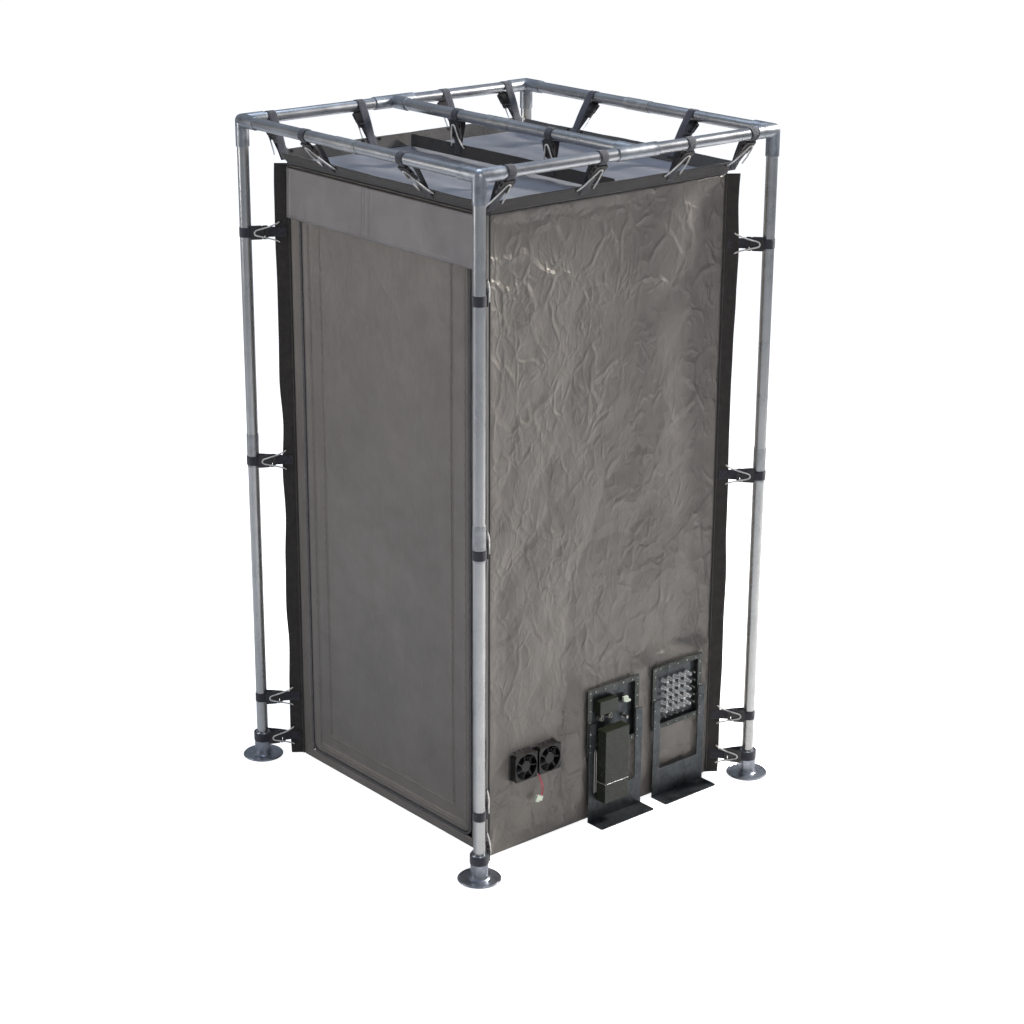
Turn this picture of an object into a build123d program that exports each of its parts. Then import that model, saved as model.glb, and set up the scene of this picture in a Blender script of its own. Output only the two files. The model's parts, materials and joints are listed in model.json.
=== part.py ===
from build123d import *
import os
from math import acos, atan2, cos, hypot, pi, radians, sin, sqrt, tan

# A shielded tent of metallised fabric, hung by webbing straps inside a free-standing
# frame of round tube. +X is the service wall, -Y the door, +Z up. The origin is on the
# floor, in the middle of the four posts. Everything is in millimetres.

# ---- Driving dimensions: the tube frame ----
RAIL_HEIGHT = 2240.0          # axis of the top rails above the floor
POST_X = 600.0                # half the post spacing along X
POST_Y = 603.0                # half the post spacing along Y
CROSS_RAIL_Y = 10.0           # the rail between the two side rails
TUBE_R = 19.05                # 1.5 inch tube
TUBE_WALL = 2.4
FIT = 0.1                     # radial clearance of a tube in a fitting
FITTING_R = 22.2
FITTING_REACH = 83.0          # socket mouth from the middle of a corner or tee
SOCKET_STOP = 21.0            # socket floor from the middle of a corner or tee
COUPLER_R = 20.6
COUPLER_LENGTH = 116.0
POST_JOINT_Z = 1128.0
RAIL_JOINTS = {"front": -30.0, "cross": -40.0, "back": -20.0}
FLANGE_R = 70.0
FLANGE_T = 11.0
HUB_R = 28.5
HUB_TOP = 88.0
FOOT_SOCKET_Z = 8.0

# ---- Driving dimensions: the tent ----
TENT_X = 510.0                # half width, outside
TENT_Y = 491.0                # half depth, outside
TENT_TOP = 2102.0
FLOOR_T = 4.0
SKIN = 4.0                    # thickness that a fabric panel takes up
SEAT = 0.2                    # gap between panels that only lie against each other
DOOR_LEFT = -444.0
DOOR_RIGHT = 411.0
DOOR_BOTTOM = 46.0
DOOR_TOP = 1985.0
DOOR_CORNER_R = 30.0
ZIP_GAP = 12.0                # door edge to the fixed front, all round
VALANCE_BOTTOM = 1925.0
VALANCE_TOP = 2090.0
VALANCE_FACE_Y = -500.5
VALANCE_T = 2.5
BAND_T = 3.0
CORNER_BAND_W = 44.0
ROOF_BAND_W = 48.0
CROSS_BAND_H = 42.0

# ---- Driving dimensions: straps, buckles and shock cord ----
WEB_W = 32.0
WEB_T = 1.7
BUCKLE_W = 45.0
BUCKLE_T = 11.0
SOCKET_LENGTH = 40.0
CLIP_LENGTH = 18.0
BUCKLE_GAP = 0.5              # least gap from buckle to tube
SEWN = 34.0                   # length of webbing sewn onto a band
CORD_R = 2.5
EYELET_STEP = 34.0            # eyelet from the middle of its strap
EYELET_R = 5.0
POST_STRAP_Z = [72.0, 222.0, 1093.0, 1876.0]
FRONT_STRAPS_X = [-248.0, 248.0]
BACK_STRAPS_X = [-242.0, 242.0]
CROSS_STRAPS_X = [-250.0, 215.0]
SIDE_STRAPS_Y = [-494.0, -135.0, 228.0, 496.5]

# ---- Driving dimensions: fans ----
FAN = 92.0
FAN_DEPTH = 25.0
FAN_PITCH = 101.0
FAN_Z = 289.0
FAN_MID_Y = -303.5
FAN_BORE_R = 43.5
FAN_HUB_R = 19.0
FAN_SHAFT_R = 1.5
FAN_HOLE_PITCH = 82.5
ROTOR_TIP_R = 42.2
BLADES = 7

# ---- Driving dimensions: service panels ----
PANEL_Y = [28.0, 320.0]       # power panel, signal panel
PANEL_Z = 361.0
CLAMP = 228.0                 # clamp frame, outside
CLAMP_OPENING = 192.0
CLAMP_DEPTH = 21.0            # wall to the front of the clamp frame's flange
FLANGE_T = 6.0
COLLAR = 202.0                # the collar behind the flange, outside
PLATE_T = 3.0
STAND_W = 238.0
STAND_SHIFT = 10.0            # stands sit this far towards the back of their frames
STAND_ARM_TOP = 354.0
STAND_WINDOW = (178.0, 101.0, 246.0)
STAND_FOOT = 72.0
SCREW_R = 2.1
SCREW_HEAD_R = 2.7
SCREW_PITCH = 41.0
RF_PITCH = 27.0

os.makedirs("parts", exist_ok=True)


def save(name, shape):
    """Write one sub-part as its own STEP file."""
    export_step(shape, f"parts/{name}.step")


def box(x, y, z):
    """A box from three (low, high) pairs."""
    size = [pair[1] - pair[0] for pair in (x, y, z)]
    middle = [(pair[0] + pair[1]) / 2 for pair in (x, y, z)]
    return Pos(*middle) * Box(*size)


def rod(start, end, radius):
    """A round bar between two points."""
    line = Vector(*end) - Vector(*start)
    place = Plane(origin=start, z_dir=line)
    return place * Cylinder(radius, line.length, align=(Align.CENTER, Align.CENTER, Align.MIN))


def tube(start, end, outer, inner):
    """A hollow round bar between two points."""
    return rod(start, end, outer) - rod(start, end, inner)


def frame_tube(start, end):
    return tube(start, end, TUBE_R, TUBE_R - TUBE_WALL)


def offset(origin, direction, distance):
    return tuple(o + d * distance for o, d in zip(origin, direction))


def socketed_fitting(centre, directions):
    """Sockets that meet in a ball, each bored to seat a tube."""
    body = Pos(*centre) * Sphere(FITTING_R)
    for direction in directions:
        mouth = offset(centre, direction, FITTING_REACH)
        socket = rod(centre, mouth, FITTING_R)
        rim = socket.edges().filter_by(GeomType.CIRCLE).sort_by_distance(mouth)[0]
        body += chamfer(rim, 1.2)
    for direction in directions:
        floor = offset(centre, direction, SOCKET_STOP)
        mouth = offset(centre, direction, FITTING_REACH + 1)
        body -= rod(floor, mouth, TUBE_R + FIT)
    return body


def coupler(centre, direction):
    half = COUPLER_LENGTH / 2
    start = offset(centre, direction, -half)
    end = offset(centre, direction, half)
    return tube(start, end, COUPLER_R, TUBE_R + FIT)


def split_run(start, end, joint, direction):
    """Two tubes that meet, 4 mm apart, under a coupler at the joint point."""
    first = frame_tube(start, offset(joint, direction, -2))
    second = frame_tube(offset(joint, direction, 2), end)
    return [first, second]


# ---- The tube frame ----
TUBE_SEAT = SOCKET_STOP + 1.5
SIDES = {"front_left": (-1, -1), "front_right": (1, -1), "back_right": (1, 1), "back_left": (-1, 1)}


def foot_flange():
    """Round base plate with a rolled edge, and a hub that the post drops into."""
    with BuildPart() as foot:
        with BuildSketch(Plane.XZ):
            with BuildLine():
                Polyline(
                    (0, 0), (FLANGE_R - 2, 0), (FLANGE_R, 2), (FLANGE_R, FLANGE_T - 3),
                    (FLANGE_R - 3, FLANGE_T), (FLANGE_R - 6, FLANGE_T), (FLANGE_R - 8, FLANGE_T - 1.5),
                    (HUB_R + 7, FLANGE_T - 1.5), (HUB_R + 1.5, FLANGE_T + 3), (HUB_R, FLANGE_T + 9),
                    (HUB_R, HUB_TOP - 6), (HUB_R - 4, HUB_TOP), (TUBE_R + FIT, HUB_TOP),
                    (TUBE_R + FIT, FOOT_SOCKET_Z), (0, FOOT_SOCKET_Z), close=True,
                )
            make_face()
        revolve(axis=Axis.Z)
    return foot.part


foot = foot_flange()
lower_posts = []
upper_posts = []
post_couplers = []
for side, (sx, sy) in SIDES.items():
    x, y = sx * POST_X, sy * POST_Y
    save(f"foot_flange_{side}", Pos(x, y, 0) * foot)
    run = split_run(
        (x, y, FOOT_SOCKET_Z), (x, y, RAIL_HEIGHT - TUBE_SEAT), (x, y, POST_JOINT_Z), (0, 0, 1)
    )
    lower_posts.append(run[0])
    upper_posts.append(run[1])
    post_couplers.append(coupler((x, y, POST_JOINT_Z), (0, 0, 1)))
    corner = socketed_fitting((x, y, RAIL_HEIGHT), [(0, 0, -1), (-sx, 0, 0), (0, -sy, 0)])
    save(f"corner_fitting_{side}", corner)
save("lower_posts", Compound(lower_posts))
save("upper_posts", Compound(upper_posts))
save("post_couplers", Compound(post_couplers))

rail_couplers = []
for name, rail_y in (("front", -POST_Y), ("cross", CROSS_RAIL_Y), ("back", POST_Y)):
    end_x = POST_X - TUBE_SEAT
    joint = (RAIL_JOINTS[name], rail_y, RAIL_HEIGHT)
    run = split_run((-end_x, rail_y, RAIL_HEIGHT), (end_x, rail_y, RAIL_HEIGHT), joint, (1, 0, 0))
    save(f"{name}_rails", Compound(run))
    rail_couplers.append(coupler(joint, (1, 0, 0)))
save("rail_couplers", Compound(rail_couplers))

side_tees = []
for name, sx in (("left", -1), ("right", 1)):
    centre = (sx * POST_X, CROSS_RAIL_Y, RAIL_HEIGHT)
    end_y = POST_Y - TUBE_SEAT
    front_half = frame_tube((sx * POST_X, -end_y, RAIL_HEIGHT), offset(centre, (0, 1, 0), -TUBE_SEAT))
    back_half = frame_tube(offset(centre, (0, 1, 0), TUBE_SEAT), (sx * POST_X, end_y, RAIL_HEIGHT))
    save(f"{name}_side_rails", Compound([front_half, back_half]))
    side_tees.append(socketed_fitting(centre, [(0, 1, 0), (0, -1, 0), (-sx, 0, 0)]))
save("side_tees", Compound(side_tees))

# ---- The tent: floor, walls and roof ----
screw_line = CLAMP / 2 - 9.0
SCREW_ROW = [step * SCREW_PITCH for step in (-2, -1, 0, 1, 2)]


def screw_spots():
    """Screw centres round a panel's clamp frame, as offsets from its middle."""
    spots = [(step, edge) for step in SCREW_ROW for edge in (-screw_line, screw_line)]
    spots += [(edge, step) for step in SCREW_ROW for edge in (-screw_line, screw_line)]
    spots += [(y, z) for y in (-screw_line, screw_line) for z in (-screw_line, screw_line)]
    return spots


inner_x = TENT_X - SKIN
inner_y = TENT_Y - SKIN
wall_top = TENT_TOP - SKIN
save("floor_panel", box((-inner_x, inner_x), (-inner_y, inner_y), (0, FLOOR_T)))
save("roof_panel", box((-TENT_X, TENT_X), (-TENT_Y, TENT_Y), (wall_top, TENT_TOP)))
save("wall_left", box((-TENT_X, -inner_x), (-inner_y, inner_y), (FLOOR_T, wall_top)))
save("wall_back", box((-TENT_X, TENT_X), (inner_y, TENT_Y), (FLOOR_T, wall_top)))

vent_y = (FAN_MID_Y - FAN_PITCH / 2 - FAN / 2, FAN_MID_Y + FAN_PITCH / 2 + FAN / 2)
vent_z = (FAN_Z - FAN / 2, FAN_Z + FAN / 2)
wall_right = box((inner_x, TENT_X), (-inner_y, inner_y), (FLOOR_T, wall_top))
wall_right -= box((inner_x - 1, TENT_X + 1), vent_y, vent_z)
panel_half = CLAMP_OPENING / 2
for middle in PANEL_Y:
    hole_y = (middle - panel_half, middle + panel_half)
    hole_z = (PANEL_Z - panel_half, PANEL_Z + panel_half)
    wall_right -= box((inner_x - 1, TENT_X + 1), hole_y, hole_z)
    for y, z in screw_spots():
        wall_right -= rod(
            (inner_x - 1, middle + y, PANEL_Z + z), (TENT_X + 1, middle + y, PANEL_Z + z), SCREW_R + 0.2
        )
save("wall_right", wall_right)


def front_plate(left, right, bottom, top, corner_radius, near_y, far_y):
    """An upright plate in the front wall, its two lower corners rounded."""
    plate = box((left, right), (near_y, far_y), (bottom, top))
    lower = plate.edges().filter_by(Axis.Y).group_by(Axis.Z)[0]
    return fillet(lower, corner_radius)


opening_radius = DOOR_CORNER_R + ZIP_GAP
front = box((-TENT_X, TENT_X), (-TENT_Y, -inner_y), (FLOOR_T, wall_top))
front -= front_plate(
    DOOR_LEFT - ZIP_GAP, DOOR_RIGHT + ZIP_GAP, DOOR_BOTTOM - ZIP_GAP, DOOR_TOP + 6,
    opening_radius, -TENT_Y - 1, -inner_y + 1,
)
save("front_surround", front)
save("door_panel", front_plate(
    DOOR_LEFT, DOOR_RIGHT, DOOR_BOTTOM, DOOR_TOP, DOOR_CORNER_R, -TENT_Y, -inner_y,
))
save("door_valance", box(
    (-TENT_X + 1, TENT_X - 1), (VALANCE_FACE_Y, VALANCE_FACE_Y + VALANCE_T), (VALANCE_BOTTOM, VALANCE_TOP),
))

# The zip runs down one side of the door, under it and up the other side. Its chain is
# sewn to the fixed front, and a slider with a hanging pull runs on each upright.
CHAIN_W = 9.0
zip_outer = front_plate(
    DOOR_LEFT - ZIP_GAP, DOOR_RIGHT + ZIP_GAP, DOOR_BOTTOM - ZIP_GAP, DOOR_TOP,
    opening_radius, -TENT_Y - 0.5, -inner_y - 0.5,
)
zip_inner = front_plate(
    DOOR_LEFT - ZIP_GAP + CHAIN_W, DOOR_RIGHT + ZIP_GAP - CHAIN_W, DOOR_BOTTOM - ZIP_GAP + CHAIN_W,
    DOOR_TOP + 1, opening_radius - CHAIN_W, -TENT_Y - 2, -inner_y + 1,
)
save("zipper_chain", zip_outer - zip_inner)

SLIDER_TOP = 1975.0
slider_face = -TENT_Y - 0.8
for name, chain_x in (
    ("left", DOOR_LEFT - ZIP_GAP + CHAIN_W / 2 - 2),
    ("right", DOOR_RIGHT + ZIP_GAP - CHAIN_W / 2 + 2),
):
    body = box((chain_x - 5.5, chain_x + 5.5), (slider_face - 3, slider_face), (SLIDER_TOP - 15, SLIDER_TOP))
    pull = box(
        (chain_x - 2.5, chain_x + 2.5), (slider_face - 1.5, slider_face), (SLIDER_TOP - 50, SLIDER_TOP - 16)
    )
    pull -= Pos(chain_x, slider_face, SLIDER_TOP - 45) * Rot(90, 0, 0) * Cylinder(1.4, 8)
    save(f"zipper_slider_{name}", Compound([body, pull]))

# ---- Straps: where each one hangs, and which way it pulls ----
# A strap goes round its tube and back to a band on the tent's edge. One ply is plain and
# the other holds the buckle: outwards and below on the rails, and on the posts on the
# face that looks towards the door and the service wall.
SHOW = Vector(0.72, -0.61, 0.33)


def strap_place(origin, pull, along, face):
    """Local X runs from the tube to the tent, Z along the tube, Y out of the buckle's face."""
    width = along if along.cross(pull).dot(face) > 0 else along * -1
    return Plane(origin=origin, x_dir=pull, z_dir=width)


def corner_pull(sx, sy):
    return Vector(sx * (TENT_X - POST_X), sy * (TENT_Y - POST_Y), 0)


def post_radius(height):
    """What a strap at this height goes round: the foot's hub, the coupler or the bare post."""
    if height < HUB_TOP:
        return HUB_R
    return COUPLER_R if abs(height - POST_JOINT_Z) < (COUPLER_LENGTH + WEB_W) / 2 else TUBE_R


def edge_pull(dx, dy):
    """From a top rail to the tent's top edge, in the plane square to both."""
    return Vector(dx, dy, TENT_TOP - RAIL_HEIGHT)


straps = []                   # (place, tube radius, distance to the band's outer edge)
for sx, sy in SIDES.values():
    pull = corner_pull(sx, sy)
    for height in POST_STRAP_Z:
        origin = (sx * POST_X, sy * POST_Y, height)
        place = strap_place(origin, pull.normalized(), Vector(0, 0, 1), SHOW)
        straps.append((place, post_radius(height), pull.length - CORNER_BAND_W))
for sx in (-1, 1):
    pull = edge_pull(sx * (TENT_X - POST_X), 0)
    for y in SIDE_STRAPS_Y:
        origin = (sx * POST_X, y, RAIL_HEIGHT)
        place = strap_place(origin, pull.normalized(), Vector(0, 1, 0), Vector(sx, 0, -1))
        near_fitting = abs(y) > POST_Y - FITTING_REACH - WEB_W / 2
        straps.append((place, FITTING_R if near_fitting else TUBE_R, pull.length - ROOF_BAND_W))
for sy, row in ((-1, FRONT_STRAPS_X), (1, BACK_STRAPS_X)):
    pull = edge_pull(0, sy * (TENT_Y - POST_Y))
    for x in row:
        origin = (x, sy * POST_Y, RAIL_HEIGHT)
        place = strap_place(origin, pull.normalized(), Vector(1, 0, 0), Vector(0, sy, -1))
        straps.append((place, TUBE_R, pull.length - ROOF_BAND_W))
cross_drop = RAIL_HEIGHT - TENT_TOP
for x in CROSS_STRAPS_X:
    origin = (x, CROSS_RAIL_Y, RAIL_HEIGHT)
    place = strap_place(origin, Vector(0, 0, -1), Vector(1, 0, 0), Vector(0, -1, 0))
    straps.append((place, TUBE_R, cross_drop - CROSS_BAND_H))


def on_circle(radius, angle):
    return (radius * cos(angle), radius * sin(angle))


def ply_angle(radius, band_edge):
    """Where the buckle's ply leaves the tube, as an angle from the pull's direction."""
    near = BAND_T / 2 + SEAT + WEB_T / 2
    return atan2(near, band_edge) + acos((radius + 0.3 + WEB_T / 2) / hypot(band_edge, near))


def buckle_start(radius):
    """How far down its ply the buckle starts, so that its back clears the tube."""
    ply_radius = radius + 0.3 + WEB_T / 2
    return sqrt((radius + BUCKLE_GAP) ** 2 - (ply_radius - BUCKLE_T / 2) ** 2) + 0.3


def strap_loop(radius, band_edge):
    """Webbing from the buckle, round the tube and down its plain side to the band."""
    angle = ply_angle(radius, band_edge)
    inner, outer = radius + 0.3, radius + 0.3 + WEB_T
    down = Vector(sin(angle), -cos(angle))
    near, far = BAND_T / 2 + SEAT, BAND_T / 2 + SEAT + WEB_T
    start_in = Vector(*on_circle(inner, angle)) + down * buckle_start(radius)
    start_out = Vector(*on_circle(outer, angle)) + down * buckle_start(radius)
    with BuildPart() as loop:
        with BuildSketch():
            with BuildLine():
                Line(start_in, start_out)
                Line(start_out, on_circle(outer, angle))
                ThreePointArc(on_circle(outer, angle), (-outer, 0), on_circle(outer, -angle))
                Polyline(on_circle(outer, -angle), (band_edge, -far), (band_edge + SEWN, -far))
                Line((band_edge + SEWN, -far), (band_edge + SEWN, -near))
                Polyline((band_edge + SEWN, -near), (band_edge, -near), on_circle(inner, -angle))
                ThreePointArc(on_circle(inner, -angle), (-inner, 0), on_circle(inner, angle))
                Line(on_circle(inner, angle), start_in)
            make_face()
        extrude(amount=WEB_W / 2, both=True)
    return loop.part


def buckle_socket():
    """The half that takes the prongs: a flat box, open at one end and at both sides."""
    shell = Box(SOCKET_LENGTH, BUCKLE_T, BUCKLE_W, align=(Align.MIN, Align.CENTER, Align.CENTER))
    shell = fillet(shell.edges().filter_by(Axis.Y), 5)
    cavity = box((6, SOCKET_LENGTH + 1), (-3, 3), (-BUCKLE_W / 2 + 4, BUCKLE_W / 2 - 4))
    windows = box((10, 24), (-3, 3), (-BUCKLE_W, BUCKLE_W))
    return shell - cavity - windows


def buckle_clip():
    """The half with the prongs: a slotted bar, two side springs and a middle guide."""
    bar = Box(CLIP_LENGTH, BUCKLE_T - 3, BUCKLE_W, align=(Align.MIN, Align.CENTER, Align.CENTER))
    bar = fillet(bar.edges().filter_by(Axis.Y), 3)
    bar -= box((6, 9), (-9, 9), (-WEB_W / 2, WEB_W / 2))
    guide = box((-26, 0.5), (-2.4, 2.4), (-4, 4))
    springs = []
    for side in (-1, 1):
        edge = side * (BUCKLE_W / 2 - 7)
        springs.append(box((-26, 0.5), (-2.4, 2.4), (edge - 2.5, edge + 2.5)))
    return bar + guide + springs[0] + springs[1]


def buckle_frame(radius, band_edge):
    """Local place of the socket's tube end: X down the ply, Y out of the shown face."""
    angle = ply_angle(radius, band_edge)
    down = Vector(sin(angle), -cos(angle))
    start = Vector(*on_circle(radius + 0.3 + WEB_T / 2, angle)) + down * buckle_start(radius)
    return Plane(origin=(start.X, start.Y, 0), x_dir=(down.X, down.Y, 0), z_dir=(0, 0, 1))


def strap_tail(frame, band_edge):
    """Webbing from the clip to the band, with its end sewn flat on the band."""
    near, far = BAND_T / 2 + SEAT, BAND_T / 2 + SEAT + WEB_T
    clip_end = SOCKET_LENGTH + CLIP_LENGTH + 0.6
    start_in = frame.from_local_coords(Vector(clip_end, -WEB_T / 2, 0))
    start_out = frame.from_local_coords(Vector(clip_end, WEB_T / 2, 0))
    outline = Polyline(
        (start_in.X, start_in.Y), (start_out.X, start_out.Y), (band_edge, far),
        (band_edge + SEWN, far), (band_edge + SEWN, near), (band_edge, near), close=True,
    )
    return extrude(make_face(outline), WEB_W / 2, both=True)


def shock_cord(frame, band_edge):
    """Elastic cord from one eyelet, up over the buckle and down to the other eyelet."""
    low = BAND_T / 2 + CORD_R + 1.0
    high = BUCKLE_T / 2 + CORD_R + 0.4
    over = [
        frame.from_local_coords(Vector(along, high, across))
        for along, across in ((58, 18.5), (16, 8), (16, -8), (58, -18.5))
    ]
    points = [(band_edge + 9, low, EYELET_STEP - 4), *over, (band_edge + 9, low, -EYELET_STEP + 4)]
    path = FilletPolyline(*points, radius=5)
    section = Plane(origin=path @ 0, z_dir=path % 0) * Circle(CORD_R)
    return sweep(section, path=path)


socket_shape = buckle_socket()
clip_shape = buckle_clip()
loops = []
sockets = []
clips = []
tails = []
cords = []
made = {}
for place, radius, band_edge in straps:
    kind = (radius, round(band_edge, 3))
    if kind not in made:
        frame = buckle_frame(radius, band_edge)
        made[kind] = (
            strap_loop(radius, band_edge),
            frame * socket_shape,
            frame * Pos(SOCKET_LENGTH + 0.3, 0, 0) * clip_shape,
            strap_tail(frame, band_edge),
            shock_cord(frame, band_edge),
        )
    for group, shape in zip((loops, sockets, clips, tails, cords), made[kind]):
        group.append(place * shape)
save("strap_loops", Compound(loops))
save("buckle_sockets", Compound(sockets))
save("buckle_clips", Compound(clips))
save("strap_tails", Compound(tails))
save("shock_cords", Compound(cords))

# ---- Bands: the doubled fabric flanges along the tent's edges that the straps pull on ----
EDGE_GAP = 3.0


def band(place, width, length, eyelet_spots):
    """A flat strip from the tent's edge outwards, with a hole for each eyelet."""
    strip = box((EDGE_GAP, width), (-BAND_T / 2, BAND_T / 2), (-length / 2, length / 2))
    for spot in eyelet_spots:
        strip -= Pos(width - 9, 0, spot) * Rot(90, 0, 0) * Cylinder(EYELET_R - 1.4, BAND_T + 2)
    return place * strip


def eyelet_ring(place, width, spot):
    ring = Cylinder(EYELET_R, BAND_T + 1.2) - Cylinder(EYELET_R - 2.4, BAND_T + 3)
    groove = Cylinder(EYELET_R + 1, BAND_T) - Cylinder(EYELET_R - 1.5, BAND_T + 1)
    return place * Pos(width - 9, 0, spot) * Rot(90, 0, 0) * (ring - groove)


def spots_for(strap_places, middle):
    spots = []
    for position in strap_places:
        spots.append(position - middle - EYELET_STEP)
        spots.append(position - middle + EYELET_STEP)
    return spots


corner_bands = []
roof_bands = []
eyelets = []
corner_height = wall_top - FLOOR_T
corner_mid = (wall_top + FLOOR_T) / 2
for sx, sy in SIDES.values():
    outwards = corner_pull(sx, sy).normalized() * -1
    place = Plane(origin=(sx * TENT_X, sy * TENT_Y, corner_mid), x_dir=outwards, z_dir=(0, 0, 1))
    spots = spots_for(POST_STRAP_Z, corner_mid)
    corner_bands.append(band(place, CORNER_BAND_W, corner_height, spots))
    eyelets += [eyelet_ring(place, CORNER_BAND_W, spot) for spot in spots]
for sx in (-1, 1):
    outwards = edge_pull(sx * (TENT_X - POST_X), 0).normalized() * -1
    place = Plane(origin=(sx * TENT_X, 0, TENT_TOP), x_dir=outwards, z_dir=(0, 1, 0))
    spots = [s for s in spots_for(SIDE_STRAPS_Y, 0) if abs(s) < TENT_Y - EYELET_R]
    roof_bands.append(band(place, ROOF_BAND_W, 2 * TENT_Y, spots))
    eyelets += [eyelet_ring(place, ROOF_BAND_W, spot) for spot in spots]
for sy, row in ((-1, FRONT_STRAPS_X), (1, BACK_STRAPS_X)):
    outwards = edge_pull(0, sy * (TENT_Y - POST_Y)).normalized() * -1
    place = Plane(origin=(0, sy * TENT_Y, TENT_TOP), x_dir=outwards, z_dir=(1, 0, 0))
    spots = spots_for(row, 0)
    roof_bands.append(band(place, ROOF_BAND_W, 2 * TENT_X, spots))
    eyelets += [eyelet_ring(place, ROOF_BAND_W, spot) for spot in spots]
place = Plane(origin=(0, CROSS_RAIL_Y, TENT_TOP), x_dir=(0, 0, 1), z_dir=(1, 0, 0))
spots = spots_for(CROSS_STRAPS_X, 0)
roof_bands.append(band(place, CROSS_BAND_H, 2 * TENT_X - 12, spots))
eyelets += [eyelet_ring(place, CROSS_BAND_H, spot) for spot in spots]
save("corner_bands", Compound(corner_bands))
save("roof_bands", Compound(roof_bands))
save("band_eyelets", Compound(eyelets))

# ---- Fans, side by side on the service wall, each over a screened vent ----
face_x = TENT_X + 1.0


def fan_housing():
    """Square frame with a round duct; the motor's seat is held by four struts at the back."""
    body = fillet(Box(FAN_DEPTH, FAN, FAN).edges().filter_by(Axis.X), 5)
    duct = Rot(0, 90, 0) * Cylinder(FAN_BORE_R, FAN_DEPTH + 2)
    body -= duct
    hole = FAN_HOLE_PITCH / 2
    for y in (-hole, hole):
        for z in (-hole, hole):
            body -= Pos(0, y, z) * Rot(0, 90, 0) * Cylinder(2.3, FAN_DEPTH + 2)
            waist = Pos(0, y * 1.07, z * 1.07) * Box(FAN_DEPTH - 8, 9, 9)
            body -= waist
    back = -FAN_DEPTH / 2
    seat = Pos(back + 2, 0, 0) * Rot(0, 90, 0) * Cylinder(FAN_HUB_R + 1, 4)
    seat += rod((back + 3, 0, 0), (back + 17, 0, 0), FAN_SHAFT_R)
    for angle in (45, 135, 225, 315):
        strut = Pos(back + 1.5, 0, (FAN_HUB_R + FAN_BORE_R) / 2) * Box(3, 4, FAN_BORE_R - FAN_HUB_R + 2)
        seat += Rot(angle, 0, 0) * strut
    return body + seat


def fan_rotor():
    """Cupped hub with swept blades, facing out of the wall."""
    length = FAN_DEPTH - 8
    hub = Rot(0, 90, 0) * Cylinder(FAN_HUB_R, length)
    front_rim = hub.edges().filter_by(GeomType.CIRCLE).sort_by(Axis.X)[-1]
    hub = fillet(front_rim, 3)
    span = ROTOR_TIP_R - FAN_HUB_R + 3
    reach = Rot(0, 90, 0) * Cylinder(ROTOR_TIP_R, length)
    for index in range(BLADES):
        blade = Pos(0, 0, FAN_HUB_R - 3 + span / 2) * Rot(0, 0, 52) * Box(1.8, 23, span + 4)
        hub += Rot(index * 360 / BLADES, 0, 0) * (blade & reach)
    hub -= rod((-length, 0, 0), (length / 2 - 4, 0, 0), FAN_SHAFT_R + 0.05)
    return Pos(2, 0, 0) * hub


def vent_screen():
    """Honeycomb plate behind one fan."""
    with BuildPart() as plate:
        with BuildSketch(Plane.YZ):
            Rectangle(FAN - 1, FAN - 1)
            with HexLocations(5.4, 8, 9):
                RegularPolygon(5.3, 6, mode=Mode.SUBTRACT)
        extrude(amount=4, both=True)
    return plate.part


housing = fan_housing()
rotor = fan_rotor()
screen = vent_screen()
screens = []
fan_screws = []
for name, side in (("left", -1), ("right", 1)):
    fan_y = FAN_MID_Y + side * FAN_PITCH / 2
    spot = Pos(face_x + FAN_DEPTH / 2, fan_y, FAN_Z)
    save(f"fan_housing_{name}", spot * housing)
    save(f"fan_rotor_{name}", spot * rotor)
    screens.append(Pos(inner_x - 0.5, fan_y, FAN_Z) * screen)
    hole = FAN_HOLE_PITCH / 2
    for y in (-hole, hole):
        for z in (-hole, hole):
            head = (face_x + FAN_DEPTH + 2.2, fan_y + y, FAN_Z + z)
            seat = (face_x + FAN_DEPTH, fan_y + y, FAN_Z + z)
            shank_end = (face_x + 2, fan_y + y, FAN_Z + z)
            fan_screws.append(rod(seat, head, 3.6) + rod(shank_end, seat, 1.9))
save("vent_screens", Compound(screens))
save("fan_screws", Compound(fan_screws))

# The fans' two-wire lead leaves the second housing's foot and ends in a small connector.
LEAD_R = 2.2
LEAD_ROUTE = [
    (526.0, -292.5, 242.4),
    (529.5, -288.0, 222.0),
    (529.0, -280.5, 201.0),
    (526.5, -275.0, 183.0),
    (524.5, -275.5, 170.0),
    (525.0, -280.0, 160.0),
]


def bend_radii(route):
    """Each bend is as large as its two runs allow."""
    radii = []
    for before, here, after in zip(route, route[1:], route[2:]):
        first = Vector(*here) - Vector(*before)
        second = Vector(*after) - Vector(*here)
        turn = radians(first.get_angle(second))
        radii.append(0.45 * min(first.length, second.length) / tan(turn / 2))
    return radii


def route_tube(route, radius):
    path = FilletPolyline(*route, radius=bend_radii(route))
    section = Plane(origin=path @ 0, z_dir=path % 0) * Circle(radius)
    solid = sweep(section, path=path)
    return solid, path.length


lead, lead_length = route_tube(LEAD_ROUTE, LEAD_R)
print("lead: bend radii", [round(r, 1) for r in bend_radii(LEAD_ROUTE)], "length", round(lead_length, 1))
print("lead: volume", round(lead.volume, 1), "section times length", round(pi * LEAD_R**2 * lead_length, 1))
save("fan_lead", lead)
lead_end = Vector(*LEAD_ROUTE[-1])
lead_way = (lead_end - Vector(*LEAD_ROUTE[-2])).normalized()
plug_place = Plane(origin=lead_end, x_dir=(0, 1, 0), z_dir=lead_way)
latch = Pos(0, 0, 8) * Box(11, 10, 16)
block = Pos(-14, 0, 11) * Box(17, 12, 22)
plug = chamfer(latch.edges().filter_by(Axis.Z), 0.8) + chamfer(block.edges().filter_by(Axis.Z), 1.2)
save("fan_lead_plug", plug_place * plug)

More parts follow.
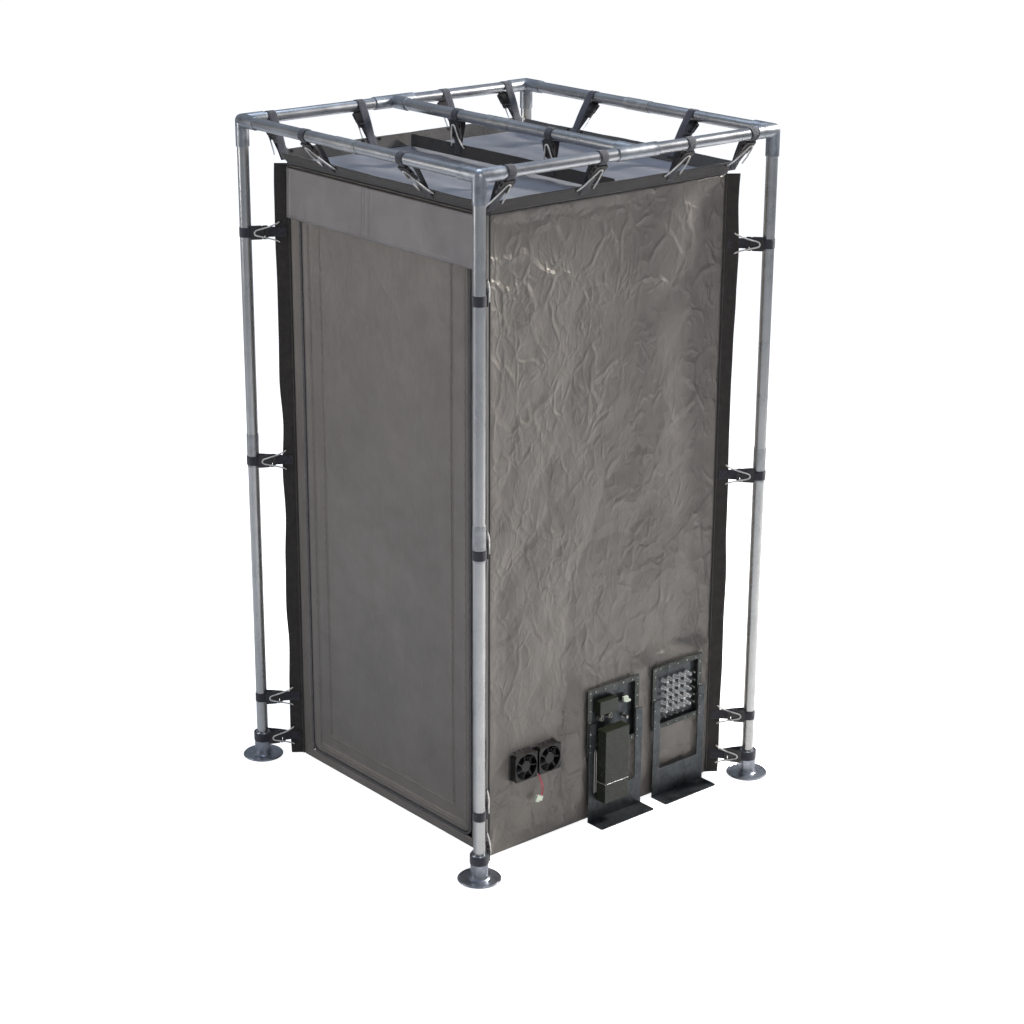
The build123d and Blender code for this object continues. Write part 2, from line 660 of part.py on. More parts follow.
# ---- Service panels: a clamp frame outside, a frame inside, a plate and a floor stand ----
clamp_back = TENT_X + 0.3
clamp_front = clamp_back + CLAMP_DEPTH
stand_back = clamp_front + 0.2


def ring_plate(x_low, x_high, outer, opening):
    half = outer / 2
    gap = opening / 2
    ring = box((x_low, x_high), (-half, half), (-half, half))
    ring = ring - box((x_low - 1, x_high + 1), (-gap, gap), (-gap, gap))
    for y, z in screw_spots():
        ring -= Pos((x_low + x_high) / 2, y, z) * Rot(0, 90, 0) * Cylinder(SCREW_R + 0.15, 60)
    return ring


def panel_stand():
    """Folded sheet: two arms beside a window, a solid skirt and a foot on the floor."""
    half = STAND_W / 2
    window, sill, lintel = STAND_WINDOW
    sheet = box((stand_back, stand_back + PLATE_T), (-half, half), (0, STAND_ARM_TOP))
    sheet -= box((stand_back - 1, stand_back + 9), (-window / 2, window / 2), (sill, STAND_ARM_TOP + 1))
    foot = box((stand_back, stand_back + STAND_FOOT), (-half, half), (0, PLATE_T))
    foot = fillet(foot.edges().filter_by(Axis.Z).group_by(Axis.X)[-1], 6)
    stand = sheet + foot
    for y, z in screw_spots():
        through = Rot(0, 90, 0) * Cylinder(SCREW_R + 0.15, 40)
        stand -= Pos(stand_back, y - STAND_SHIFT, z + PANEL_Z) * through
    return stand


def panel_screw(seat_x):
    head = rod((seat_x, 0, 0), (seat_x + 2.6, 0, 0), SCREW_HEAD_R)
    head = fillet(head.edges().filter_by(GeomType.CIRCLE).sort_by(Axis.X)[-1], 1.3)
    return head + rod((inner_x - 6, 0, 0), (seat_x, 0, 0), SCREW_R)


def clamp_frame():
    """A thin flange that stands off the wall on a collar round the opening."""
    collar = box((clamp_back, clamp_front), (-COLLAR / 2, COLLAR / 2), (-COLLAR / 2, COLLAR / 2))
    flange = ring_plate(clamp_front - FLANGE_T, clamp_front, CLAMP, CLAMP_OPENING)
    gap = CLAMP_OPENING / 2
    return flange + (collar - box((clamp_back - 1, clamp_front + 1), (-gap, gap), (-gap, gap)))


clamp = clamp_frame()
inner_ring = ring_plate(inner_x - 6.3, inner_x - 0.3, CLAMP, CLAMP_OPENING)
stand = panel_stand()
clamp_frames = []
inner_frames = []
stands = []
screws = []
for middle in PANEL_Y:
    clamp_frames.append(Pos(0, middle, PANEL_Z) * clamp)
    inner_frames.append(Pos(0, middle, PANEL_Z) * inner_ring)
    stands.append(Pos(0, middle + STAND_SHIFT, 0) * stand)
    for y, z in screw_spots():
        on_arm = abs(y - STAND_SHIFT) > STAND_WINDOW[0] / 2 and z + PANEL_Z < STAND_ARM_TOP
        seat_x = stand_back + PLATE_T if on_arm else clamp_front
        screws.append(Pos(0, middle + y, PANEL_Z + z) * panel_screw(seat_x))
save("panel_clamp_frames", Compound(clamp_frames))
save("panel_inner_frames", Compound(inner_frames))
save("panel_stands", Compound(stands))
save("panel_screws", Compound(screws))

plate_back = clamp_back
plate_front = plate_back + PLATE_T
plate_half = CLAMP_OPENING / 2 - 0.3


def through_x(y, z, radius):
    return rod((plate_back - 5, y, z), (plate_front + 5, y, z), radius)


def on_plate(x_low, x_high, y, z, radius):
    """A round piece whose axis is square to the plates; x is measured from the plate's face."""
    return rod((plate_front + x_low, y, z), (plate_front + x_high, y, z), radius)


def hexagon(x_low, x_high, y, z, across_flats):
    size = across_flats / 2 / cos(pi / 6)
    prism = extrude(RegularPolygon(size, 6), x_high - x_low)
    return Pos(plate_front + x_low, y, z) * Rot(0, 90, 0) * prism


def plate(middle):
    return box(
        (plate_back, plate_front), (middle - plate_half, middle + plate_half),
        (PANEL_Z - plate_half, PANEL_Z + plate_half),
    )


# Signal panel: a square grid of bulkhead connectors, then a column and a row of small ones.
signal_y = PANEL_Y[1]
GRID = [step * RF_PITCH for step in (-2, -1, 0, 1, 2)]
RF_HOLE_R = 4.9
rf_spots = [(signal_y + y, PANEL_Z - 1 + z) for y in GRID for z in GRID]
small_y = signal_y + 2 * RF_PITCH + 33
small_z = PANEL_Z - 2 * RF_PITCH - 27
small_spots = [(small_y, PANEL_Z + z - 8) for z in GRID]
small_spots += [(signal_y + y + 8, small_z) for y in GRID[:4]]
io_plate = plate(signal_y)
rf_connectors = []
small_connectors = []
for y, z in rf_spots:
    io_plate -= through_x(y, z, RF_HOLE_R + 0.2)
    body = on_plate(-8, 27, y, z, RF_HOLE_R) + hexagon(0.1, 3.5, y, z, 13)
    body += on_plate(9, 15, y, z, RF_HOLE_R + 1.2)
    rf_connectors.append(body - on_plate(20, 28, y, z, 3.4))
for y, z in small_spots:
    io_plate -= through_x(y, z, 3.3)
    body = on_plate(-6, 13, y, z, 3.1) + hexagon(0.1, 2.5, y, z, 8)
    small_connectors.append(body - on_plate(9, 14, y, z, 2.0))
save("io_plate", io_plate)
save("rf_connectors", Compound(rf_connectors))
save("small_connectors", Compound(small_connectors))

# Power panel: a line filter in front, a switch box above it, nipples between the two,
# an inlet socket and two earth rods.
power_y = PANEL_Y[0]
INLET = (power_y + 52.0, 402.0)
COAX = (power_y + 58.0, 338.0)
NIPPLES = [(power_y - 55.0, 364.0), (power_y - 18.0, 366.0)]
power_plate = plate(power_y)
power_plate -= through_x(*INLET, 12.2)
power_plate -= through_x(*COAX, 5.2)
for y, z in NIPPLES:
    power_plate -= through_x(y, z, 8.2)
save("power_plate", power_plate)

nipples = []
for y, z in NIPPLES:
    nipple = on_plate(-8, 24, y, z, 8) + hexagon(0.1, 6, y, z, 22) + on_plate(14, 20, y, z, 10)
    nipples.append(nipple - on_plate(18, 25, y, z, 6))
coax = on_plate(-8, 24, *COAX, 5) + hexagon(0.1, 3.5, *COAX, 13)
save("conduit_nipples", Compound(nipples + [coax]))

socket = on_plate(0.1, 6, *INLET, 17) + on_plate(-12, 14, *INLET, 12)
socket -= on_plate(9, 15, *INLET, 8.6)
save("power_inlet", socket)
cap = on_plate(9.2, 24, *INLET, 8.4)
arm = box(
    (plate_front + 16, plate_front + 23), (INLET[0] + 2, INLET[0] + 22), (INLET[1] - 15, INLET[1] - 8),
)
grip = box(
    (plate_front + 14.5, plate_front + 24), (INLET[0] - 11, INLET[0] + 9), (INLET[1] - 4, INLET[1] + 11),
)
save("inlet_cap", cap + grip + Pos(-1, 0, 4) * arm)

FILTER_X = (stand_back + PLATE_T + 0.2, stand_back + PLATE_T + 43)
FILTER_Y = (power_y - 74, power_y + 30)
FILTER_Z = (75.0, 333.0)
LID_Z = 143.0
body = box(FILTER_X, FILTER_Y, (LID_Z + 0.6, FILTER_Z[1]))
body = fillet(body.edges().filter_by(Axis.Z), 1.5)
save("filter_box", body)
terminal = box(FILTER_X, FILTER_Y, (FILTER_Z[0], LID_Z))
terminal = fillet(terminal.edges().filter_by(Axis.Z), 1.5)
save("filter_terminal_cover", terminal)
switch = box((plate_front + 0.1, plate_front + 32), (power_y - 72, power_y + 7), (381, 428))
save("switch_box", fillet(switch.edges().filter_by(Axis.X), 1.5))

earth_rods = []
for y in (power_y - 87.0, power_y - 79.0):
    foot_x = stand_back + PLATE_T + 3
    earth_rods.append(rod((foot_x, y, 105), (foot_x, y, 252), 1.8))
save("earth_rods", Compound(earth_rods))
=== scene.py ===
import json
import math

import bmesh
import bpy
import numpy as np
from mathutils import Matrix, Vector


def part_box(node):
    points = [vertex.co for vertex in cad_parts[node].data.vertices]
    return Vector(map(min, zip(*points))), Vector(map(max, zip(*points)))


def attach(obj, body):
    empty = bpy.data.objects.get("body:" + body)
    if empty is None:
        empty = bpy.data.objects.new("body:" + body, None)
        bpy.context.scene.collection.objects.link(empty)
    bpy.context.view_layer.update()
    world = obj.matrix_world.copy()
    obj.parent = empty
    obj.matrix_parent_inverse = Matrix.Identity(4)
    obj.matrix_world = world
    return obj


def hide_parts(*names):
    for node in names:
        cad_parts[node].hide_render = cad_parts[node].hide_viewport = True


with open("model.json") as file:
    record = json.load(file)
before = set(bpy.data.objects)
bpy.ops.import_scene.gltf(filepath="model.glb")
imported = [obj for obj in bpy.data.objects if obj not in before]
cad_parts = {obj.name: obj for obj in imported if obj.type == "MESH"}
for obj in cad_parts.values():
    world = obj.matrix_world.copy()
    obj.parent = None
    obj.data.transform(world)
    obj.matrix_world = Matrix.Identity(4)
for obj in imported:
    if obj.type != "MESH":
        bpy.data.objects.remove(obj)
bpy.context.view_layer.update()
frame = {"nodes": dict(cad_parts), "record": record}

MM = 0.001
NODES = frame["nodes"]

# ---------------------------------------------------------------- places, from the frame
TENT_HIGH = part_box("roof_panel")[1]
TENT_X, TENT_Y, TENT_TOP = TENT_HIGH
WALL_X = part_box("wall_right")[0][0]
FLOOR_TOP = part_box("floor_panel")[1][2]
DOOR_LOW, DOOR_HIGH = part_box("door_panel")
VALANCE_LOW, VALANCE_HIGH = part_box("door_valance")
ZIP_LOW, ZIP_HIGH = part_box("zipper_chain")


def middle(node):
    low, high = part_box(node)
    return Vector([(a + b) / 2 for a, b in zip(low, high)])


POST = middle("foot_flange_front_right")
POST_X, POST_Y = POST.x, -POST.y
RAIL_Z = middle("front_rails").z
CROSS_Y = middle("cross_rails").y
TUBE_R = (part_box("front_rails")[1][2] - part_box("front_rails")[0][2]) / 2

# ---------------------------------------------------------------- camera, floor and light
LENS_MM = 80.87
SENSOR_MM = 36.0
FAR_CLIP = 60
CAMERA_PLACE = (5.60443, -4.73275, 3.49730)
AMBIENCE = 0.42
FLOOR_GLOW = 0.82

camera_data = bpy.data.cameras.new("camera")
camera_data.lens = LENS_MM
camera_data.sensor_width = SENSOR_MM
camera_data.clip_end = FAR_CLIP
camera = bpy.data.objects.new("camera", camera_data)
bpy.context.scene.collection.objects.link(camera)
camera_right = Vector((0.64682, 0.76263, 0.00450))
camera_up = Vector((-0.25445, 0.21024, 0.94397))
camera_back = Vector((0.71895, -0.61173, 0.33003))
turn = Matrix((camera_right, camera_up, camera_back)).transposed().to_4x4()
camera.matrix_world = Matrix.Translation(CAMERA_PLACE) @ turn
bpy.context.scene.camera = camera
bpy.context.scene.view_settings.view_transform = "Standard"


def area_light(name, place, target, size, power, colour):
    data = bpy.data.lights.new(name, "AREA")
    data.shape = "RECTANGLE"
    data.size, data.size_y = size
    data.energy = power
    data.color = colour
    light = bpy.data.objects.new(name, data)
    light.location = place
    light.rotation_euler = (Vector(target) - Vector(place)).to_track_quat("-Z", "Y").to_euler()
    bpy.context.scene.collection.objects.link(light)
    return light


area_light("key_light", (4.2, -1.6, 3.6), (0.3, 0.0, 0.9), (1.2, 1.6), 38, (1.0, 0.97, 0.93))
area_light("raking_light", (1.25, 3.6, 3.6), (0.5, 0.0, 1.0), (0.35, 0.9), 300, (1.0, 0.96, 0.91))
area_light("front_light", (-2.6, -4.6, 2.4), (-0.2, -0.4, 1.1), (1.2, 2.4), 60, (1.0, 0.97, 0.94))
area_light("sky_light", (-0.6, 0.2, 5.6), (0, 0, 1.5), (3.0, 3.0), 90, (0.72, 0.84, 1.0))

world = bpy.data.worlds.new("studio")
bpy.context.scene.world = world
world.use_nodes = True
sky = world.node_tree
sky.nodes.clear()
sky_out = sky.nodes.new("ShaderNodeOutputWorld")
backdrop = sky.nodes.new("ShaderNodeBackground")
backdrop.inputs["Color"].default_value = (1.0, 1.0, 1.0, 1)
backdrop.inputs["Strength"].default_value = 1.0
ambience = sky.nodes.new("ShaderNodeBackground")
ambience.inputs["Strength"].default_value = AMBIENCE
coords = sky.nodes.new("ShaderNodeTexCoord")
split = sky.nodes.new("ShaderNodeSeparateXYZ")
fade = sky.nodes.new("ShaderNodeValToRGB")
fade.color_ramp.elements[0].position = 0.0
fade.color_ramp.elements[0].color = (0.55, 0.53, 0.50, 1)
fade.color_ramp.elements[1].position = 1.0
fade.color_ramp.elements[1].color = (0.50, 0.62, 0.85, 1)
for position, colour in ((0.22, (0.30, 0.30, 0.31, 1)), (0.5, (0.62, 0.68, 0.78, 1))):
    fade.color_ramp.elements.new(position).color = colour
sky.links.new(coords.outputs["Generated"], split.inputs[0])
sky.links.new(split.outputs["Z"], fade.inputs["Fac"])
sky.links.new(fade.outputs["Color"], ambience.inputs["Color"])
seen = sky.nodes.new("ShaderNodeLightPath")
choose = sky.nodes.new("ShaderNodeMixShader")
sky.links.new(seen.outputs["Is Camera Ray"], choose.inputs[0])
sky.links.new(ambience.outputs[0], choose.inputs[1])
sky.links.new(backdrop.outputs[0], choose.inputs[2])
sky.links.new(choose.outputs[0], sky_out.inputs["Surface"])


# ---------------------------------------------------------------- material building blocks
class Shade:
    """One procedural material: a Principled shader and short calls that feed it."""

    def __init__(self, name, metallic=0.0, roughness=0.5, **sockets):
        self.material = bpy.data.materials.new(name)
        self.material.use_nodes = True
        self.tree = self.material.node_tree
        self.shader = self.tree.nodes["Principled BSDF"]
        self.shader.inputs["Metallic"].default_value = metallic
        self.shader.inputs["Roughness"].default_value = roughness
        for socket, value in sockets.items():
            self.shader.inputs[socket.replace("_", " ").title()].default_value = value
        self.place = self.tree.nodes.new("ShaderNodeTexCoord").outputs["Object"]
        self.normal = None

    def node(self, kind, **settings):
        made = self.tree.nodes.new(kind)
        for key, value in settings.items():
            setattr(made, key, value)
        return made

    def link(self, source, target):
        self.tree.links.new(source, target)

    def stretched(self, scale=(1, 1, 1), turn=(0, 0, 0)):
        mapping = self.node("ShaderNodeMapping")
        mapping.inputs["Scale"].default_value = scale
        mapping.inputs["Rotation"].default_value = turn
        self.link(self.place, mapping.inputs["Vector"])
        return mapping.outputs[0]

    def warped(self, place, scale, amount):
        """A place shifted by a soft noise, so that nothing laid on it runs straight."""
        cloud = self.node("ShaderNodeTexNoise")
        cloud.inputs["Scale"].default_value = scale
        self.link(place, cloud.inputs["Vector"])
        shift = self.node("ShaderNodeVectorMath", operation="SCALE")
        shift.inputs["Scale"].default_value = amount
        self.link(cloud.outputs["Color"], shift.inputs[0])
        total = self.node("ShaderNodeVectorMath", operation="ADD")
        self.link(place, total.inputs[0])
        self.link(shift.outputs[0], total.inputs[1])
        return total.outputs[0]

    def noise(self, scale, detail=3.0, rough=0.55, place=None, warp=0.0):
        made = self.node("ShaderNodeTexNoise")
        made.inputs["Scale"].default_value = scale
        made.inputs["Detail"].default_value = detail
        made.inputs["Roughness"].default_value = rough
        made.inputs["Distortion"].default_value = warp
        self.link(place or self.place, made.inputs["Vector"])
        return made.outputs["Fac"]

    def cells(self, scale, feature="F1", place=None):
        made = self.node("ShaderNodeTexVoronoi", feature=feature)
        made.inputs["Scale"].default_value = scale
        self.link(place or self.place, made.inputs["Vector"])
        return made.outputs["Distance"]

    def wave(self, scale, direction="X", place=None, warp=0.0, profile="SIN"):
        made = self.node("ShaderNodeTexWave", bands_direction=direction, wave_profile=profile)
        made.inputs["Scale"].default_value = scale
        made.inputs["Distortion"].default_value = warp
        self.link(place or self.place, made.inputs["Vector"])
        return made.outputs["Fac"]

    def ramp(self, source, stops):
        made = self.node("ShaderNodeValToRGB")
        points = made.color_ramp.elements
        while len(points) < len(stops):
            points.new(0.5)
        for point, (position, colour) in zip(points, stops):
            point.position = position
            point.color = (*colour, 1) if hasattr(colour, "__len__") else (colour, colour, colour, 1)
        self.link(source, made.inputs["Fac"])
        return made.outputs["Color"]

    def maths(self, operation, a, b):
        made = self.node("ShaderNodeMath", operation=operation)
        for socket, value in zip(made.inputs, (a, b)):
            if isinstance(value, (int, float)):
                socket.default_value = value
            else:
                self.link(value, socket)
        return made.outputs[0]

    def mix(self, factor, first, second, blend="MIX"):
        made = self.node("ShaderNodeMix", data_type="RGBA", blend_type=blend)
        sockets = (made.inputs["Factor"], made.inputs[6], made.inputs[7])
        for socket, value in zip(sockets, (factor, first, second)):
            if isinstance(value, (int, float)):
                socket.default_value = value
            elif hasattr(value, "__len__"):
                socket.default_value = (*value, 1)
            else:
                self.link(value, socket)
        return made.outputs[2]

    def colour(self, source):
        self.link(source, self.shader.inputs["Base Color"])
        return self

    def roughness(self, source):
        self.link(source, self.shader.inputs["Roughness"])
        return self

    def bump(self, height, distance, strength=1.0):
        made = self.node("ShaderNodeBump")
        made.inputs["Strength"].default_value = strength
        made.inputs["Distance"].default_value = distance
        self.link(height, made.inputs["Height"])
        if self.normal:
            self.link(self.normal, made.inputs["Normal"])
        self.normal = made.outputs[0]
        self.link(self.normal, self.shader.inputs["Normal"])
        return self


def scaled(colour, amount):
    return tuple(channel * amount for channel in colour)


def shielding_cloth(name, colour, crumple, crease=0.0):
    """Metallised ripstop: a grey weave with a dull metal sheen, creased where it was folded."""
    shade = Shade(name, metallic=0.55, roughness=0.5, sheen_weight=0.15)
    blotches = shade.noise(5.0, 4, 0.6, warp=0.6)
    tone = shade.ramp(blotches, [(0.3, scaled(colour, 0.90)), (0.7, scaled(colour, 1.08))])
    thread = shade.maths("MULTIPLY", shade.wave(420, "Z"), shade.wave(420, "DIAGONAL"))
    tone = shade.mix(shade.maths("MULTIPLY", thread, 0.25), tone, scaled(colour, 0.72))
    shade.colour(tone)
    shade.roughness(shade.ramp(shade.noise(14, 3), [(0.3, 0.42), (0.7, 0.58)]))
    slanted = shade.stretched((1.0, 1.0, 0.55), (0.45, 0, 0))
    folds = shade.cells(24, "DISTANCE_TO_EDGE", slanted)
    shade.bump(shade.ramp(folds, [(0.0, 1.0), (0.16, 0.0)]), crumple)
    shade.bump(shade.noise(60, 4, 0.6, slanted, 1.0), crumple)
    if crease:
        leaning = shade.warped(shade.stretched((1.0, 1.0, 0.72), (0.62, 0, 0)), 7, 0.10)
        for scale, depth, width in ((9, crease, 0.11), (19, 0.55 * crease, 0.16), (38, 0.25 * crease, 0.22)):
            edges = shade.ramp(shade.cells(scale, "DISTANCE_TO_EDGE", leaning), [(0.0, 1.0), (width, 0.0)])
            patchy = shade.ramp(shade.noise(scale * 0.5, 2), [(0.42, 0.0), (0.60, 1.0)])
            shade.bump(shade.maths("MULTIPLY", edges, patchy), depth)
    shade.bump(thread, 0.00008)
    return shade.material


def woven_band(name, colour, rib):
    """Dark doubled cloth or webbing, with fine ribs and worn lighter threads."""
    shade = Shade(name, metallic=0.0, roughness=0.8, sheen_weight=0.35, sheen_roughness=0.5)
    worn = shade.noise(40, 5, 0.65)
    tone = shade.ramp(worn, [(0.35, scaled(colour, 0.75)), (0.75, scaled(colour, 1.45))])
    shade.colour(tone)
    weave = shade.maths("MULTIPLY", shade.wave(rib, "X"), shade.wave(rib, "Z"))
    shade.bump(shade.maths("ADD", weave, shade.wave(rib, "Y")), 0.0003, 0.8)
    shade.bump(worn, 0.0006)
    return shade.material


def drawn_metal(name, colour, along, roughness=0.34, streak=0.10):
    """Extruded or drawn aluminium: fine streaks along its length, handling marks and dull patches."""
    shade = Shade(name, metallic=0.92, roughness=roughness)
    scale = [260.0, 260.0, 260.0]
    scale["XYZ".index(along)] = 3.0
    lines = shade.noise(1.0, 3, 0.6, shade.stretched(scale))
    patches = shade.noise(9, 4, 0.6, warp=0.4)
    tone = shade.ramp(patches, [(0.3, scaled(colour, 0.86)), (0.72, scaled(colour, 1.1))])
    tone = shade.mix(shade.maths("MULTIPLY", lines, 0.35), tone, scaled(colour, 0.62))
    shade.colour(tone)
    both = shade.maths("ADD", shade.maths("MULTIPLY", lines, streak), shade.maths("MULTIPLY", patches, 0.16))
    shade.roughness(shade.maths("ADD", both, roughness - 0.10))
    shade.bump(lines, 0.00004)
    return shade.material


def cast_metal(name, colour, roughness=0.42, metallic=0.9):
    """Cast or machined fitting: soft mottling, small pits and rubbed high spots."""
    shade = Shade(name, metallic=metallic, roughness=roughness)
    mottle = shade.noise(38, 5, 0.62, warp=0.3)
    tone = shade.ramp(mottle, [(0.3, scaled(colour, 0.75)), (0.7, scaled(colour, 1.15))])
    shade.colour(tone)
    shade.roughness(shade.ramp(shade.noise(22, 4), [(0.3, roughness - 0.1), (0.7, roughness + 0.12)]))
    shade.bump(shade.noise(420, 3), 0.00012)
    return shade.material


def spangled_sheet(name, colour):
    """Galvanised sheet that has dulled: crystal spangle and lighter cloudy patches."""
    shade = Shade(name, metallic=0.85, roughness=0.4)
    grains = shade.node("ShaderNodeTexVoronoi")
    grains.inputs["Scale"].default_value = 110
    shade.link(shade.stretched((1, 1, 0.6)), grains.inputs["Vector"])
    spangle = shade.ramp(grains.outputs["Color"], [(0.2, scaled(colour, 0.78)), (0.8, scaled(colour, 1.3))])
    clouds = shade.ramp(shade.noise(11, 5, 0.65, warp=0.5), [(0.35, 0.0), (0.75, 1.0)])
    shade.colour(shade.mix(shade.maths("MULTIPLY", clouds, 0.6), spangle, scaled(colour, 2.2)))
    shade.roughness(shade.ramp(shade.noise(26, 4), [(0.3, 0.26), (0.75, 0.52)]))
    shade.bump(grains.outputs["Distance"], 0.00008)
    return shade.material


def moulded_plastic(name, colour, roughness=0.42, grain=900):
    """Injection-moulded plastic with a fine grain and slightly polished rubbed areas."""
    shade = Shade(name, roughness=roughness)
    rubbed = shade.noise(50, 4, 0.6)
    shade.colour(shade.ramp(rubbed, [(0.3, scaled(colour, 0.82)), (0.75, scaled(colour, 1.25))]))
    shade.roughness(shade.ramp(rubbed, [(0.3, roughness + 0.08), (0.75, roughness - 0.1)]))
    shade.bump(shade.noise(grain, 2), 0.00006)
    return shade.material


def plain_floor():
    """A matt floor that the camera sees as a white sweep; its glow lights nothing else."""
    shade = Shade("pale_floor", roughness=0.9)
    shade.colour(shade.ramp(shade.noise(0.6, 2), [(0.3, 0.84), (0.7, 0.86)]))
    shade.shader.inputs["Emission Color"].default_value = (1, 1, 1, 1)
    seen = shade.node("ShaderNodeLightPath").outputs["Is Camera Ray"]
    shade.link(shade.maths("MULTIPLY", seen, FLOOR_GLOW), shade.shader.inputs["Emission Strength"])
    return shade.material


CLOTH = (0.222, 0.203, 0.184)
# The roof is the walls' cloth; its bluer tone is a painted sky reflection.
ROOF_CLOTH_PAINTED_SKY = (0.20, 0.204, 0.235)
VALANCE_CLOTH = (0.250, 0.233, 0.230)
BAND_CLOTH = (0.026, 0.021, 0.018)
WEBBING = (0.030, 0.029, 0.042)

MATERIALS = {
    "shield_fabric": shielding_cloth("shielding_cloth", CLOTH, 0.0004),
    "service_fabric": shielding_cloth("service_cloth", CLOTH, 0.0006, 0.0038),
    # roof cloth in a bluer tone: painted sky reflection
    "roof_fabric": shielding_cloth("roof_cloth", ROOF_CLOTH_PAINTED_SKY, 0.0003),
    "valance_fabric": shielding_cloth("valance_cloth", VALANCE_CLOTH, 0.0002),
    "band_fabric": woven_band("band_cloth", BAND_CLOTH, 260),
    "webbing": woven_band("webbing", WEBBING, 330),
    "dark_screw": moulded_plastic("dark_screw", (0.020, 0.018, 0.016), 0.30),
    "tube_z": drawn_metal("post_tube", (0.58, 0.58, 0.57), "Z", 0.26),
    # The rails are the posts' tubing; their darker, bluer base is painted sky reflection and painted shade.
    "tube_x": drawn_metal("rail_tube_x_painted_sky", (0.47, 0.48, 0.50), "X", 0.26),
    "tube_y": drawn_metal("rail_tube_y_painted_sky", (0.47, 0.48, 0.50), "Y", 0.26),
    "coupler_metal": cast_metal("coupler_metal", (0.46, 0.465, 0.47), 0.36),
    "fitting_metal": cast_metal("fitting_metal", (0.38, 0.40, 0.43), 0.34),
    "foot_metal": cast_metal("foot_metal", (0.34, 0.36, 0.40), 0.32),
    "frame_metal": spangled_sheet("clamp_frame_metal", (0.052, 0.056, 0.052)),
    "sheet_steel": spangled_sheet("stand_steel", (0.060, 0.066, 0.070)),
    "buckle_plastic": moulded_plastic("buckle_plastic", (0.030, 0.027, 0.028), 0.34),
    "fan_plastic": moulded_plastic("fan_plastic", (0.008, 0.007, 0.007), 0.36),
    "black_plastic": moulded_plastic("socket_plastic", (0.018, 0.018, 0.020), 0.45),
    "pale_plastic": moulded_plastic("pale_plastic", (0.62, 0.68, 0.56), 0.45),
    "lead_insulation": moulded_plastic("lead_insulation", (0.60, 0.045, 0.10), 0.42),
    "thread": woven_band("stitch_thread", (0.07, 0.065, 0.08), 900),
    "shock_cord": woven_band("shock_cord", (0.80, 0.78, 0.75), 700),
    "eyelet_metal": cast_metal("eyelet_metal", (0.02, 0.02, 0.022), 0.3),
    "zip_chain": woven_band("zip_tape", (0.060, 0.056, 0.058), 380),
    "zip_metal": cast_metal("zip_metal", (0.42, 0.41, 0.40), 0.36),
    "honeycomb": cast_metal("honeycomb", (0.24, 0.24, 0.26), 0.45),
    "screw_steel": cast_metal("screw_steel", (0.40, 0.41, 0.41), 0.34),
    "filter_paint": moulded_plastic("filter_paint", (0.020, 0.023, 0.014), 0.30),
    "switch_paint": moulded_plastic("switch_paint", (0.022, 0.026, 0.016), 0.34),
    "dull_nickel": cast_metal("dull_nickel", (0.36, 0.35, 0.33), 0.34),
    "bright_nickel": cast_metal("bright_nickel", (0.86, 0.86, 0.85), 0.42, 0.55),
}
TUBE_MATERIAL = {
    "lower_posts": "tube_z", "upper_posts": "tube_z", "front_rails": "tube_x", "back_rails": "tube_x",
    "cross_rails": "tube_x", "left_side_rails": "tube_y", "right_side_rails": "tube_y",
    "fan_screws": "dark_screw",
}
BEVELLED = {
    "panel_clamp_frames": 0.8, "panel_stands": 0.8, "filter_box": 0.6, "filter_terminal_cover": 0.6,
    "switch_box": 0.8, "buckle_sockets": 1.2, "buckle_clips": 1.0, "power_plate": 0.5, "io_plate": 0.5,
    "fan_lead_plug": 0.5, "zipper_slider_left": 0.5, "zipper_slider_right": 0.5,
    "fan_housing_left": 0.6, "fan_housing_right": 0.6, "rf_connectors": 0.4, "small_connectors": 0.3,
}
for part in frame["record"]["subparts"]:
    node = NODES[part["node"]]
    chosen = TUBE_MATERIAL.get(part["node"], part["material_slot"])
    node.data.materials.clear()
    node.data.materials.append(MATERIALS[chosen])
    if part["node"] in BEVELLED:
        rounding = node.modifiers.new("rounded_edges", "BEVEL")
        rounding.width = BEVELLED[part["node"]] * MM
        rounding.segments = 2
        rounding.limit_method = "ANGLE"


# ---------------------------------------------------------------- cloth in code
def spaced(low, high, step, extra=()):
    """Grid lines from low to high, with extra lines where a seam or an opening needs them."""
    lines = list(np.linspace(low, high, max(2, int(round((high - low) / step)) + 1)))
    extra = [e for e in extra if low <= e <= high]
    ends = (lines[0], lines[-1])
    kept = [l for l in lines if l in ends or all(abs(l - e) > 0.25 * step for e in extra)]
    return np.array(sorted(set(kept) | set(extra)))


def seam_lines(position, half=0.006):
    """Grid lines that resolve a seam's narrow ridges."""
    return [position + half * k for k in (-1.0, -0.6, -0.3, 0.0, 0.3, 0.6, 1.0)]


def lattice(seed, layers):
    return np.random.default_rng(seed).uniform(-1, 1, (64, 64, layers))


def swell(u, v, cell, seed):
    """Smooth billows, about -1 to 1."""
    table = lattice(seed, 1)[..., 0]
    a, b = u / cell, v / cell
    i, j = np.floor(a).astype(int), np.floor(b).astype(int)
    s, t = a - i, b - j
    s, t = s * s * (3 - 2 * s), t * t * (3 - 2 * t)
    corners = [table[(i + di) % 64, (j + dj) % 64] for di in (0, 1) for dj in (0, 1)]
    low = corners[0] * (1 - t) + corners[1] * t
    high = corners[2] * (1 - t) + corners[3] * t
    return low * (1 - s) + high * s


